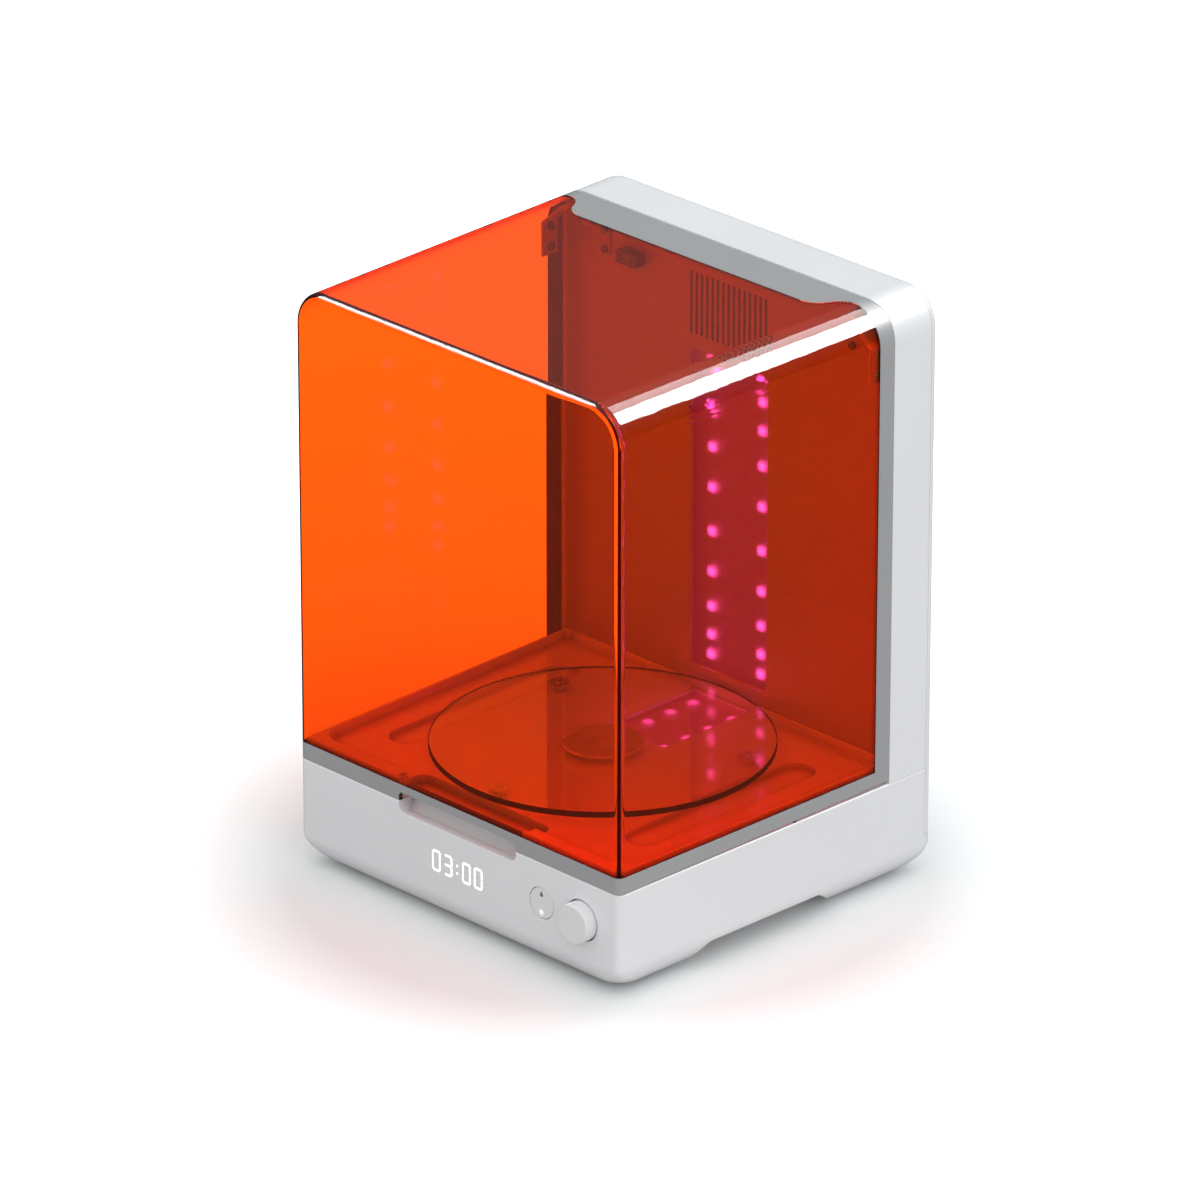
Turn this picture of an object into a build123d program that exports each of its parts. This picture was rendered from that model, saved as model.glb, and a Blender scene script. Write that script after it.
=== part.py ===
from build123d import *
import math
import os

os.makedirs("parts", exist_ok=True)

# Dental lab light curing unit: a drafted plastic base, a rear housing arch, a tinted lift-up
# cover and a glass turntable.  X is the unit's right seen from the front, the front faces -Y,
# +Z is up, and the origin is under the middle of the unit at the height of the table.

# ------------------------------------------------------------------ body
front_width = 280.0          # across the front corner of base and cover
knob_proud = 8.7             # knob face in front of the front wall
draft = math.tan(math.radians(1.0))      # the sides open towards the back
roof_rise = math.tan(math.radians(0.5))  # the roof climbs towards the back
corner = 24.0                # large rounded corner of cover and arch, seen from the front
front_round = 5.0            # soft front edges
rear_round = 6.4             # soft edges round the back

foot_height = 2.5
base_height = 69.0           # underside of the base to its top rim
base_wall = 3.0
base_round = 18.0            # belly radius along the bottom edges
base_tail_round = 20.0
foot_round = (20.0, 14.0)    # upright corners swell to this at the table, front and rear
tail_panel_low = 26.0        # where the rear panel ends above the table

cover_gap = 0.5              # air between base rim and closed cover
cover_height = 315.1
cover_depth = 230.4
cover_wall = 3.0
border_skin = 1.5            # grey border let into the outside of the cover
border_height = 11.0
border_rear = 12.2
strip_depth = 31.6           # wide grey strip across the roof, over the hinge
strip_inset = 16.0           # side wall to the outer end of the S-curves
strip_sweep = 29.0           # width of the S-curve at each end
strip_half = front_width / 2 - strip_inset - strip_sweep

arch_gap = 0.35
arch_depth = 31.8
arch_wall = 3.0
panel_gap = 0.35
panel_wall = 3.0
panel_depth = 6.8
panel_inset = 0.2

fit = 0.05                   # running clearance on a radius
seat = 0.3                   # air between seated pieces

body_depth = cover_depth + arch_gap + arch_depth + panel_gap + panel_depth
front_y = -(body_depth - knob_proud) / 2
back_y = front_y + body_depth
knob_y = front_y - knob_proud
base_z = foot_height
rim_z = base_z + base_height
cover_z = rim_z + cover_gap
pane_z = cover_z + border_height
roof_front = cover_z + cover_height
cover_back = front_y + cover_depth
border_y = cover_back - border_rear
arch_front = cover_back + arch_gap
arch_back = arch_front + arch_depth
panel_front = arch_back + panel_gap
base_back = back_y

# ------------------------------------------------------------------ hinge
hinge_round = 5.0            # the cover's rear top edge is turned about the hinge axis
turn_round = hinge_round + 0.05   # a hair proud, so the turned edge crosses the roof instead of grazing it
hinge_y = cover_back - hinge_round
hinge_z = roof_front + roof_rise * (hinge_y - front_y) - hinge_round
pin_radius = 1.5
eye_radius = 3.2
hinge_inset = 16.0           # side wall to the outer end of the hinge eyes
eye_end = front_width / 2 - hinge_inset
bracket_eye = (eye_end - 6.0, eye_end)
mount_eye = (eye_end - 14.0, eye_end - 6.3)   # reach of the fixed eye along X, each side

# ------------------------------------------------------------------ chamber
tray_inset = 4.2             # tray wall to the outside of the cover
tray_wall = 2.5
tray_rim = rim_z + 14.0
tray_floor = rim_z + 8.5
tray_foot = (8.9, 15.5, 4.0) # foot of the rim slope: from the sides, from the front, from the back wall
tray_slope = 25.0            # degrees
table_to_rear = 105.1        # turntable axis in front of the cover's rear edge
table_y = cover_back - table_to_rear
glass_radius = 106.8
glass_low = tray_floor + 6.3
glass_thick = 4.0
wall_gap = 3.25              # arch front edge to chamber back wall
wall_thick = 2.5

scoop_half = 51.2            # finger recess in the front top edge of the base
scoop_low = rim_z - 7.1
scoop_depth = 14.0
scoop_round = 5.0
notch_top = rim_z + 6.2       # the recess also cuts into the grey border
notch_round = 2.5

button_z = rim_z - 26.7
button_radius = 10.1
knob_inset = 32.0            # knob axis to the side wall
button_to_knob = 34.5
knob_x = front_width / 2 - knob_inset
button_x = knob_x - button_to_knob
knob_z = rim_z - 26.3
knob_radius = 12.8
display_z = rim_z - 29.5
digit_height = 14.3
digit_width = 7.6
digit_pitch = 10.3
stroke = 1.5


def side_x(y, inset=0.0):
    return front_width / 2 + draft * (y - front_y) - inset


def roof_z(y, inset=0.0):
    return roof_front + roof_rise * (y - front_y) - inset


def plane_y(y):
    """Sketch plane across the unit at depth y: local x is X, local y is Z, facing the front."""
    return Plane(origin=(0, y, 0), x_dir=(1, 0, 0), z_dir=(0, -1, 0))


def plane_x(x):
    """Sketch plane along the unit at x: local x is Y, local y is Z."""
    return Plane(origin=(x, 0, 0), x_dir=(0, 1, 0), z_dir=(1, 0, 0))


def hood(y0, y1, low, inset=0.0, edge_round=0.0):
    """Closed solid of the drafted cover and arch form between two depths."""
    half = side_x(y0, inset)
    top = roof_z(y0, inset)
    radius = corner - inset
    with BuildPart() as body:
        for side in (1, -1):
            with BuildSketch(plane_y(y0)):
                with BuildLine():
                    Line((-20 * side, low), (side * half, low))
                    Line((side * half, low), (side * half, top - radius))
                    CenterArc((side * (half - radius), top - radius), radius, 0 if side > 0 else 90, 90)
                    Line((side * (half - radius), top), (-20 * side, top))
                    Line((-20 * side, top), (-20 * side, low))
                make_face()
            slant = Vector(side * draft, 1, roof_rise)
            extrude(amount=(y1 - y0) * slant.length, dir=slant)
        if edge_round:
            rim = body.edges().filter_by(lambda e: abs(e.center().Y - y0) < 0.01 and e.center().Z > low + 0.1)
            fillet(rim, edge_round)
    return body.part


def tub_section(inset, rise):
    """Plan outline of the base form at a height above its underside: belly inset, corners that swell."""
    radius = base_round - inset
    tail = base_tail_round - inset
    belly = radius - math.sqrt(radius ** 2 - (radius - min(rise, radius)) ** 2)
    tail_belly = tail - math.sqrt(tail ** 2 - (tail - min(rise, tail)) ** 2)
    swell = (1 - min(rise, radius) / radius) ** 1.5
    y0 = front_y + inset + belly
    y1 = base_back - inset - tail_belly
    with BuildSketch(Plane.XY.offset(base_z + inset + rise)) as plan:
        with BuildLine():
            Polyline((-side_x(y0, inset + belly), y0), (side_x(y0, inset + belly), y0),
                     (side_x(y1, inset + belly), y1), (-side_x(y1, inset + belly), y1), close=True)
        make_face()
        rounds = [base + swell * (foot - base) for base, foot in zip((front_round, rear_round), foot_round)]
        fillet(plan.vertices().group_by(Axis.Y)[0], rounds[0] - inset / 2)
        fillet(plan.vertices().group_by(Axis.Y)[-1], rounds[1] - inset / 2)
    return plan.sketch


def tub(inset, top):
    """Closed solid of the base form: drafted sides over a belly that runs into rounder corners."""
    tall = base_tail_round - inset
    rises = [tall * (1 - math.cos(math.radians(turn))) for turn in range(0, 91, 15)]
    with BuildPart() as body:
        for rise in rises:
            add(tub_section(inset, rise))
        loft()
        add(tub_section(inset, tall))
        extrude(amount=top - base_z - inset - tall)
    return body.part


def rear_top_relief(radius, y_end, top):
    """Everything behind and above the hinge axis that lies outside the given radius."""
    with BuildPart() as relief:
        with BuildSketch(plane_x(-front_width)):
            with BuildLine():
                Line((hinge_y, hinge_z + radius), (hinge_y, top))
                Line((hinge_y, top), (y_end, top))
                Line((y_end, top), (y_end, hinge_z))
                Line((y_end, hinge_z), (hinge_y + radius, hinge_z))
                CenterArc((hinge_y, hinge_z), radius, 0, 90)
            make_face()
        extrude(amount=2 * front_width)
    return relief.part


def block(x0, x1, y0, y1, z0, z1):
    """Box between six planes."""
    with BuildPart() as box:
        with BuildSketch(Plane.XY.offset(z0)):
            with Locations(((x0 + x1) / 2, (y0 + y1) / 2)):
                Rectangle(x1 - x0, y1 - y0)
        extrude(amount=z1 - z0)
    return box.part


def save(piece, name):
    piece.part.label = name
    export_step(piece.part, f"parts/{name}.step")


# ================================================================== cover
hood_outer = hood(front_y, cover_back, cover_z, 0, front_round)
hood_skin = hood(front_y + border_skin, cover_back, cover_z, border_skin, front_round - border_skin)
hood_inner = hood(front_y + cover_wall, cover_back + 1, cover_z - 1, cover_wall)
relief_outer = rear_top_relief(turn_round, cover_back + 2, roof_front + 40)
relief_skin = rear_top_relief(turn_round - border_skin, cover_back + 2, roof_front + 40)
relief_inner = rear_top_relief(turn_round - cover_wall, cover_back + 2, roof_front + 40)

# The border reaches forward across the roof and sweeps back to the side borders in two S-curves.
strip_y = cover_back - strip_depth
sweep_mid = (strip_half + strip_sweep / 2, (strip_y + border_y) / 2)
with BuildPart() as border_zone:
    with BuildSketch(Plane.XY.offset(cover_z - 5)):
        Rectangle(front_width + 40, 2 * body_depth)
    extrude(amount=pane_z - cover_z + 5)
    with BuildSketch(Plane.XY.offset(cover_z - 5)):
        with Locations((0, (border_y + cover_back + 5) / 2)):
            Rectangle(front_width + 40, cover_back + 5 - border_y)
    extrude(amount=cover_height + 40)
    with BuildSketch(Plane.XY.offset(roof_front - corner - 10)):
        with BuildLine():
            Line((-strip_half, strip_y), (strip_half, strip_y))
            for side in (1, -1):
                TangentArc((side * strip_half, strip_y), (side * sweep_mid[0], sweep_mid[1]), tangent=(side, 0))
                TangentArc((side * (strip_half + strip_sweep), border_y), (side * sweep_mid[0], sweep_mid[1]),
                           tangent=(-side, 0))
            Line((-strip_half - strip_sweep, border_y), (strip_half + strip_sweep, border_y))
        make_face()
    extrude(amount=corner + 50)

# room for the hinge eyes under the grey strip
hinge_room = []
for side in (1, -1):
    x0 = side * (mount_eye[0] - 2.5)
    x1 = side * (bracket_eye[1] + 1.5)
    hinge_room.append(block(min(x0, x1), max(x0, x1), hinge_y - eye_radius - 1, cover_back + 1, hinge_z - 20,
                            hinge_z + hinge_round))

# steel hinge brackets sit on the cover sides
bracket_thick = 1.6
bracket_front = hinge_y - 14.4
bracket_back = hinge_y - 1.4
plate_low = hinge_z - 41.0
plate_high = hinge_z - 18.0
screw_zs = (hinge_z - 35.5, hinge_z - 22.0)
screw_y = (bracket_front + bracket_back) / 2
inner_side = side_x(bracket_front, cover_wall) - fit
side_screw_bite = 1.1

with BuildPart() as grip_notch:
    with BuildSketch(plane_y(front_y - 1)) as notch:
        with Locations((0, (cover_z - 1 + notch_top) / 2)):
            Rectangle(2 * scoop_half, notch_top - cover_z + 1)
        fillet(notch.vertices().group_by(Axis.Z)[-1], notch_round)
    extrude(amount=-cover_wall - 2)

hood_mid = hood_skin - relief_skin
hood_core = hood_inner - relief_inner

with BuildPart() as cover_frame:
    add(hood_outer)
    add(relief_outer, mode=Mode.SUBTRACT)
    add(hood_mid, mode=Mode.SUBTRACT)
    add(border_zone.part, mode=Mode.INTERSECT)
    add(grip_notch.part, mode=Mode.SUBTRACT)
    # the turned edge stops short above the fixed hinge necks
    for side in (1, -1):
        add(block(min(side * (mount_eye[0] - 1), side * bracket_eye[0]),
                  max(side * (mount_eye[0] - 1), side * bracket_eye[0]),
                  hinge_y + 2, cover_back + 1, hinge_z - 1, hinge_z + 0.8), mode=Mode.SUBTRACT)
save(cover_frame, "cover_frame")

with BuildPart() as cover_window:
    add(hood_outer)
    add(relief_outer, mode=Mode.SUBTRACT)
    add(border_zone.part, mode=Mode.SUBTRACT)
    add(hood_mid)
    add(hood_core, mode=Mode.SUBTRACT)
    for room in hinge_room:
        add(room, mode=Mode.SUBTRACT)
    add(grip_notch.part, mode=Mode.SUBTRACT)
    for side in (1, -1):
        with BuildSketch(plane_x(side * (inner_side - 1))):
            with Locations(*[(screw_y, z) for z in screw_zs]):
                Circle(1.5 + fit)
        extrude(amount=side * (side_screw_bite + 1.25), mode=Mode.SUBTRACT)
save(cover_window, "cover_window")

# Ledge inside the front edge of the cover, pulled up from the finger recess.
lip_back = front_y + cover_wall + 5.0
lip_thick = 2.5
with BuildPart() as cover_grip_lip:
    with BuildSketch(Plane.XY.offset(notch_top)):
        with Locations((0, (front_y + cover_wall + lip_back) / 2)):
            Rectangle(2 * scoop_half - 1, lip_back - front_y - cover_wall)
    extrude(amount=lip_thick)
    fillet(cover_grip_lip.edges().filter_by(Axis.X).group_by(Axis.Y)[-1], 1.2)
save(cover_grip_lip, "cover_grip_lip")

# Steel hinge brackets: a plate on each cover side, joggled in to an eye on the hinge axis.
for side, hand in ((-1, "left"), (1, "right")):
    with BuildPart() as hinge_bracket:
        with BuildSketch(plane_y(bracket_front)):
            with BuildLine():
                Line((side * inner_side, plate_low), (side * inner_side, plate_high))
                Line((side * inner_side, plate_high), (side * bracket_eye[1], hinge_z - 2.6))
                Line((side * bracket_eye[1], hinge_z - 2.6), (side * bracket_eye[0], hinge_z - 2.6))
                Line((side * bracket_eye[0], hinge_z - 2.6), (side * bracket_eye[0], hinge_z - 2.6 - bracket_thick))
                Line((side * bracket_eye[0], hinge_z - 2.6 - bracket_thick),
                     (side * (bracket_eye[1] - 0.6), hinge_z - 2.6 - bracket_thick))
                Line((side * (bracket_eye[1] - 0.6), hinge_z - 2.6 - bracket_thick),
                     (side * (inner_side - bracket_thick), plate_high - 0.8))
                Line((side * (inner_side - bracket_thick), plate_high - 0.8),
                     (side * (inner_side - bracket_thick), plate_low))
                Line((side * (inner_side - bracket_thick), plate_low), (side * inner_side, plate_low))
            make_face()
        slant = Vector(side * draft, 1, 0)
        extrude(amount=(bracket_back - bracket_front) * slant.length, dir=slant)
        with BuildSketch(plane_x(side * bracket_eye[0])):
            with Locations((hinge_y, hinge_z)):
                Circle(eye_radius)
            with Locations((hinge_y - 3.5, hinge_z - 3.0)):
                Rectangle(7, 2.4)
        extrude(amount=side * (bracket_eye[1] - bracket_eye[0]))
        with BuildSketch(plane_x(side * bracket_eye[0])):
            with Locations((hinge_y, hinge_z)):
                Circle(pin_radius)
        extrude(amount=side * (bracket_eye[1] - bracket_eye[0]), mode=Mode.SUBTRACT)
        with BuildSketch(plane_x(side * (inner_side - 4))):
            with Locations(*[(screw_y, z) for z in screw_zs]):
                Circle(1.6)
        extrude(amount=side * 6, mode=Mode.SUBTRACT)
    save(hinge_bracket, f"hinge_bracket_{hand}")

with BuildPart() as hinge_pins:
    for side in (1, -1):
        with BuildSketch(plane_x(side * (mount_eye[0] - 1.4))):
            with Locations((hinge_y, hinge_z)):
                Circle(2.4)
        extrude(amount=side * 1.1)
        with BuildSketch(plane_x(side * (mount_eye[0] - 0.3))):
            with Locations((hinge_y, hinge_z)):
                Circle(pin_radius)
        extrude(amount=side * (bracket_eye[1] - mount_eye[0] + 0.8))
save(hinge_pins, "hinge_pins")

# Button-head screws hold the hinge plates to the cover sides.
with BuildPart() as hinge_bracket_screws:
    for side in (1, -1):
        plate_face = inner_side + draft * (screw_y - bracket_front) - bracket_thick - 0.05
        with BuildSketch(plane_x(side * plate_face)):
            with Locations(*[(screw_y, z) for z in screw_zs]):
                Circle(2.75)
        extrude(amount=-side * 1.5)
        with BuildSketch(plane_x(side * plate_face)):
            with Locations(*[(screw_y, z) for z in screw_zs]):
                Circle(1.5)
        extrude(amount=side * (bracket_thick + 0.05 + side_screw_bite))
save(hinge_bracket_screws, "hinge_bracket_screws")

# Fixed hinge mounts: a screwed foot, an arm through to the front and a gooseneck up to the eye.
wall_front = arch_front + wall_gap
wall_back = wall_front + wall_thick
foot_thick = 1.6
neck_half = 1.5
arm_low = hinge_z - 16.0
arm_thick = 4.0
foot_x = mount_eye[0] - 8.0
foot_screws = [(foot_x + 4.0, hinge_z - 19.0), (foot_x + 4.0, hinge_z - 32.0)]
for side, hand in ((-1, "left"), (1, "right")):
    with BuildPart() as hinge_mount:
        with BuildSketch(plane_x(side * mount_eye[0])):
            with Locations((hinge_y, hinge_z)):
                Circle(eye_radius)
            with Locations((hinge_y, (hinge_z + arm_low) / 2)):
                Rectangle(2 * neck_half, hinge_z - arm_low)
            with Locations(((hinge_y - neck_half + wall_front) / 2, arm_low + arm_thick / 2)):
                Rectangle(wall_front - hinge_y + neck_half, arm_thick)
        extrude(amount=side * (mount_eye[1] - mount_eye[0]))
        with BuildSketch(plane_y(wall_front - foot_thick)):
            with Locations((side * (foot_x + mount_eye[1]) / 2, (hinge_z - 36.0 + arm_low + arm_thick) / 2)):
                RectangleRounded(mount_eye[1] - foot_x, arm_low + arm_thick - hinge_z + 36.0, 1.5)
        extrude(amount=-foot_thick)
        with BuildSketch(plane_x(side * mount_eye[0])):
            with Locations((hinge_y, hinge_z)):
                Circle(pin_radius + fit)
        extrude(amount=side * (mount_eye[1] - mount_eye[0]), mode=Mode.SUBTRACT)
        with BuildSketch(plane_y(wall_front - foot_thick - 1)):
            with Locations(*[(side * x, z) for x, z in foot_screws]):
                Circle(1.6)
        extrude(amount=-foot_thick - 2, mode=Mode.SUBTRACT)
    save(hinge_mount, f"hinge_mount_{hand}")

with BuildPart() as hinge_mount_screws:
    for side in (1, -1):
        with BuildSketch(plane_y(wall_front - foot_thick - 1.5)):
            with Locations(*[(side * x, z) for x, z in foot_screws]):
                Circle(2.75)
        extrude(amount=-1.5)
        with BuildSketch(plane_y(wall_front - foot_thick)):
            with Locations(*[(side * x, z) for x, z in foot_screws]):
                Circle(1.5)
        extrude(amount=-foot_thick - wall_thick)
save(hinge_mount_screws, "hinge_mount_screws")

# ================================================================== rear arch
cover_swing = math.radians(65)
lip_turn = cover_swing - math.acos((turn_round + arch_gap / 2) / (hinge_round + arch_gap))
lip_reach = (hinge_round + arch_gap) * math.sin(lip_turn)
arch_tip = hinge_y + lip_reach
arch_low = rim_z
with BuildPart() as arch_front_relief:
    with BuildSketch(plane_x(-front_width)):
        with BuildLine():
            Line((arch_tip - 5, arch_low - 5), (arch_front, arch_low - 5))
            Line((arch_front, arch_low - 5), (arch_front, hinge_z))
            Line((arch_front, hinge_z), (hinge_y, hinge_z))
            Line((hinge_y, hinge_z), (arch_tip - 5, arch_low - 5))
        make_face()
    extrude(amount=2 * front_width)
    with BuildSketch(plane_x(-front_width)):
        with Locations((hinge_y, hinge_z)):
            Circle(hinge_round + arch_gap)
    extrude(amount=2 * front_width)
arch_outer = hood(arch_tip, arch_back, arch_low)
arch_inner = hood(arch_tip - 1, arch_back + 1, arch_low - 1, arch_wall)
with BuildPart() as rear_arch:
    add(arch_outer)
    add(arch_inner, mode=Mode.SUBTRACT)
    # screw bosses for the rear panel, standing on the inside of the hoop
    for side in (1, -1):
        for z in (120.0, 300.0):
            x = side_x(arch_back - 12, arch_wall)
            add(block(min(side * (x - 9), side * (x + 1)), max(side * (x - 9), side * (x + 1)),
                      arch_back - 12, arch_back, z - 5, z + 5))
    add(arch_front_relief.part, mode=Mode.SUBTRACT)
    with BuildSketch(plane_y(arch_back)):
        with Locations(*[(side * (side_x(arch_back - 12, arch_wall) - 4.5), z)
                         for side in (1, -1) for z in (120.0, 300.0)]):
            Circle(1.25)
    extrude(amount=11, mode=Mode.SUBTRACT)
save(rear_arch, "rear_arch")

# Chamber back wall: lamp opening, fan slots above it, posts that carry the heat sink.
lamp_half = 33.2
lamp_low = tray_floor + 15.8
lamp_high = lamp_low + 212.0
slot_count = 15
slot_pitch = 4.58
slot_low = 317.2
slot_high = 359.0
slot_width = 2.0
sink_front = wall_back + 7.6
wall_outer = hood(wall_front, wall_back, rim_z, arch_wall + seat)
post_spots = [(side * (lamp_half + 8.3), z) for side in (1, -1) for z in (lamp_low + 4, 202.0, lamp_high - 4)]
with BuildPart() as chamber_back_wall:
    add(wall_outer)
    with BuildSketch(plane_y(wall_front)):
        with Locations((0, (lamp_low + lamp_high) / 2)):
            RectangleRounded(2 * lamp_half, lamp_high - lamp_low, 5)
    extrude(amount=-wall_thick - 1, mode=Mode.SUBTRACT)
    with BuildSketch(plane_y(wall_front)):
        with Locations((0, (slot_low + slot_high) / 2)):
            with GridLocations(slot_pitch, 1, slot_count, 1):
                SlotOverall(slot_high - slot_low, slot_width, rotation=90)
    extrude(amount=-wall_thick - 1, mode=Mode.SUBTRACT)
    with BuildSketch(plane_y(wall_back)):
        with Locations(*post_spots):
            Circle(3)
    extrude(amount=-(sink_front - wall_back))
    with BuildSketch(plane_y(wall_front)):
        with Locations(*[(side * x, z) for side in (1, -1) for x, z in foot_screws]):
            Circle(1.5 + fit)
    extrude(amount=-wall_thick, mode=Mode.SUBTRACT)
save(chamber_back_wall, "chamber_back_wall")

window_thick = 2.0
with BuildPart() as back_lamp_window:
    with BuildSketch(plane_y(wall_back)):
        with Locations((0, (lamp_low + lamp_high) / 2)):
            RectangleRounded(2 * lamp_half + 7.6, lamp_high - lamp_low + 7.6, 4)
    extrude(amount=-window_thick)
save(back_lamp_window, "back_lamp_window")

board_thick = 1.6
board_front = sink_front - board_thick
with BuildPart() as back_lamp_board:
    with BuildSketch(plane_y(board_front)):
        with Locations((0, (lamp_low + lamp_high) / 2)):
            RectangleRounded(2 * lamp_half + 6, lamp_high - lamp_low + 4, 2)
    extrude(amount=-board_thick)
save(back_lamp_board, "back_lamp_board")

# Lamps stand closer together towards both ends of each column, for an even dose.
lamp_rows = 5
lamp_reach = 102.0
lamp_column = 21.5
lamp_offsets = []
for row in range(lamp_rows):
    share = (row + 0.5) / lamp_rows
    lamp_offsets.append(lamp_reach * (1 - (1 - share) ** 1.5))
lamp_mid = (lamp_low + lamp_high) / 2
lamp_spots = [(side * lamp_column, lamp_mid + up * reach)
              for side in (1, -1) for up in (1, -1) for reach in lamp_offsets]
with BuildPart() as back_lamps:
    with BuildSketch(plane_y(board_front)):
        with Locations(*lamp_spots):
            Rectangle(5, 5)
    extrude(amount=0.8)
    with BuildSketch(plane_y(board_front - 0.8)):
        with Locations(*lamp_spots):
            Circle(2)
    extrude(amount=0.8, taper=30)
save(back_lamps, "back_lamps")

sink_base = 3.0
fin_height = 5.2
fin_count = 9
fin_pitch = 10.0
fin_thick = 1.8
with BuildPart() as heat_sink:
    with BuildSketch(plane_y(sink_front)):
        with Locations((0, lamp_mid)):
            RectangleRounded(2 * lamp_half + 25, lamp_high - lamp_low + 12, 2)
    extrude(amount=-sink_base)
    with BuildSketch(plane_y(sink_front + sink_base)):
        with Locations((0, lamp_mid)):
            with GridLocations(fin_pitch, 1, fin_count, 1):
                Rectangle(fin_thick, lamp_high - lamp_low + 8)
    extrude(amount=-fin_height)
save(heat_sink, "heat_sink")

# Lid sensor block under the roof, with its two optical slots.
with BuildPart() as lid_sensor:
    with BuildSketch(plane_y(wall_front - 8)):
        with Locations((-81.5, hinge_z - 30)):
            RectangleRounded(18, 9, 1.5)
    extrude(amount=-8)
    with BuildSketch(plane_y(wall_front - 8)):
        with Locations((-86, hinge_z - 30), (-77, hinge_z - 30)):
            Rectangle(1.2, 5)
    extrude(amount=-2, mode=Mode.SUBTRACT)
save(lid_sensor, "lid_sensor")

# ------------------------------------------------------------------ fans
fan_size = 60.0
fan_thick = 10.0
fan_bore = 28.5
fan_back = panel_front - 0.3
fan_front = fan_back - fan_thick
hub_radius = 12.0
blade_count = 7
fans = (("lower_fan", 0.0, 200.0), ("upper_fan", 0.0, 338.0))
fan_holes = [(sx * 25, sz * 25) for sx in (1, -1) for sz in (1, -1)]
for name, x, z in fans:
    with BuildPart() as fan_frame:
        with BuildSketch(plane_y(fan_front)):
            with Locations((x, z)):
                RectangleRounded(fan_size, fan_size, 3)
                Circle(fan_bore, mode=Mode.SUBTRACT)
            with Locations(*[(x + hx, z + hz) for hx, hz in fan_holes]):
                Circle(1.7, mode=Mode.SUBTRACT)
        extrude(amount=-fan_thick)
        with BuildSketch(plane_y(fan_back - 1.8)):
            with Locations((x, z)):
                Circle(hub_radius)
                for turn in (45, 135):
                    Rectangle(2 * fan_bore + 1, 2.6, rotation=turn)
        extrude(amount=-1.8)
        with BuildSketch(plane_y(fan_back - 3.6)):
            with Locations((x, z)):
                Circle(3.0 - fit)
        extrude(amount=-1.8)
    save(fan_frame, f"{name}_frame")
    with BuildPart() as fan_rotor:
        with BuildSketch(plane_y(fan_front + 0.6)):
            with Locations((x, z)):
                Circle(hub_radius)
        extrude(amount=-(fan_thick - 2.8))
        with BuildSketch(plane_y(fan_front + 0.6 + fan_thick - 2.8 - 2.2)):
            with Locations((x, z)):
                Circle(3.0)
        extrude(amount=-2.2, mode=Mode.SUBTRACT)
        for turn in range(blade_count):
            with BuildSketch(Plane(origin=(x, (fan_front + fan_back) / 2 - 0.9, z),
                                   x_dir=(0, 1, 0),
                                   z_dir=(math.cos(math.tau * turn / blade_count), 0,
                                          math.sin(math.tau * turn / blade_count))).offset(hub_radius - 1)):
                Rectangle(5.4, 1.3, rotation=35)
            extrude(amount=fan_bore - 1.2 - hub_radius + 1)
    save(fan_rotor, f"{name}_rotor")

with BuildPart() as fan_screws:
    for name, x, z in fans:
        spots = [(x + hx, z + hz) for hx, hz in fan_holes]
        with BuildSketch(plane_y(fan_front - 1.6)):
            with Locations(*spots):
                Circle(2.6)
        extrude(amount=-1.6)
        with BuildSketch(plane_y(fan_front)):
            with Locations(*spots):
                Circle(1.4)
        extrude(amount=-fan_thick - 3)
save(fan_screws, "fan_screws")

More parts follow.
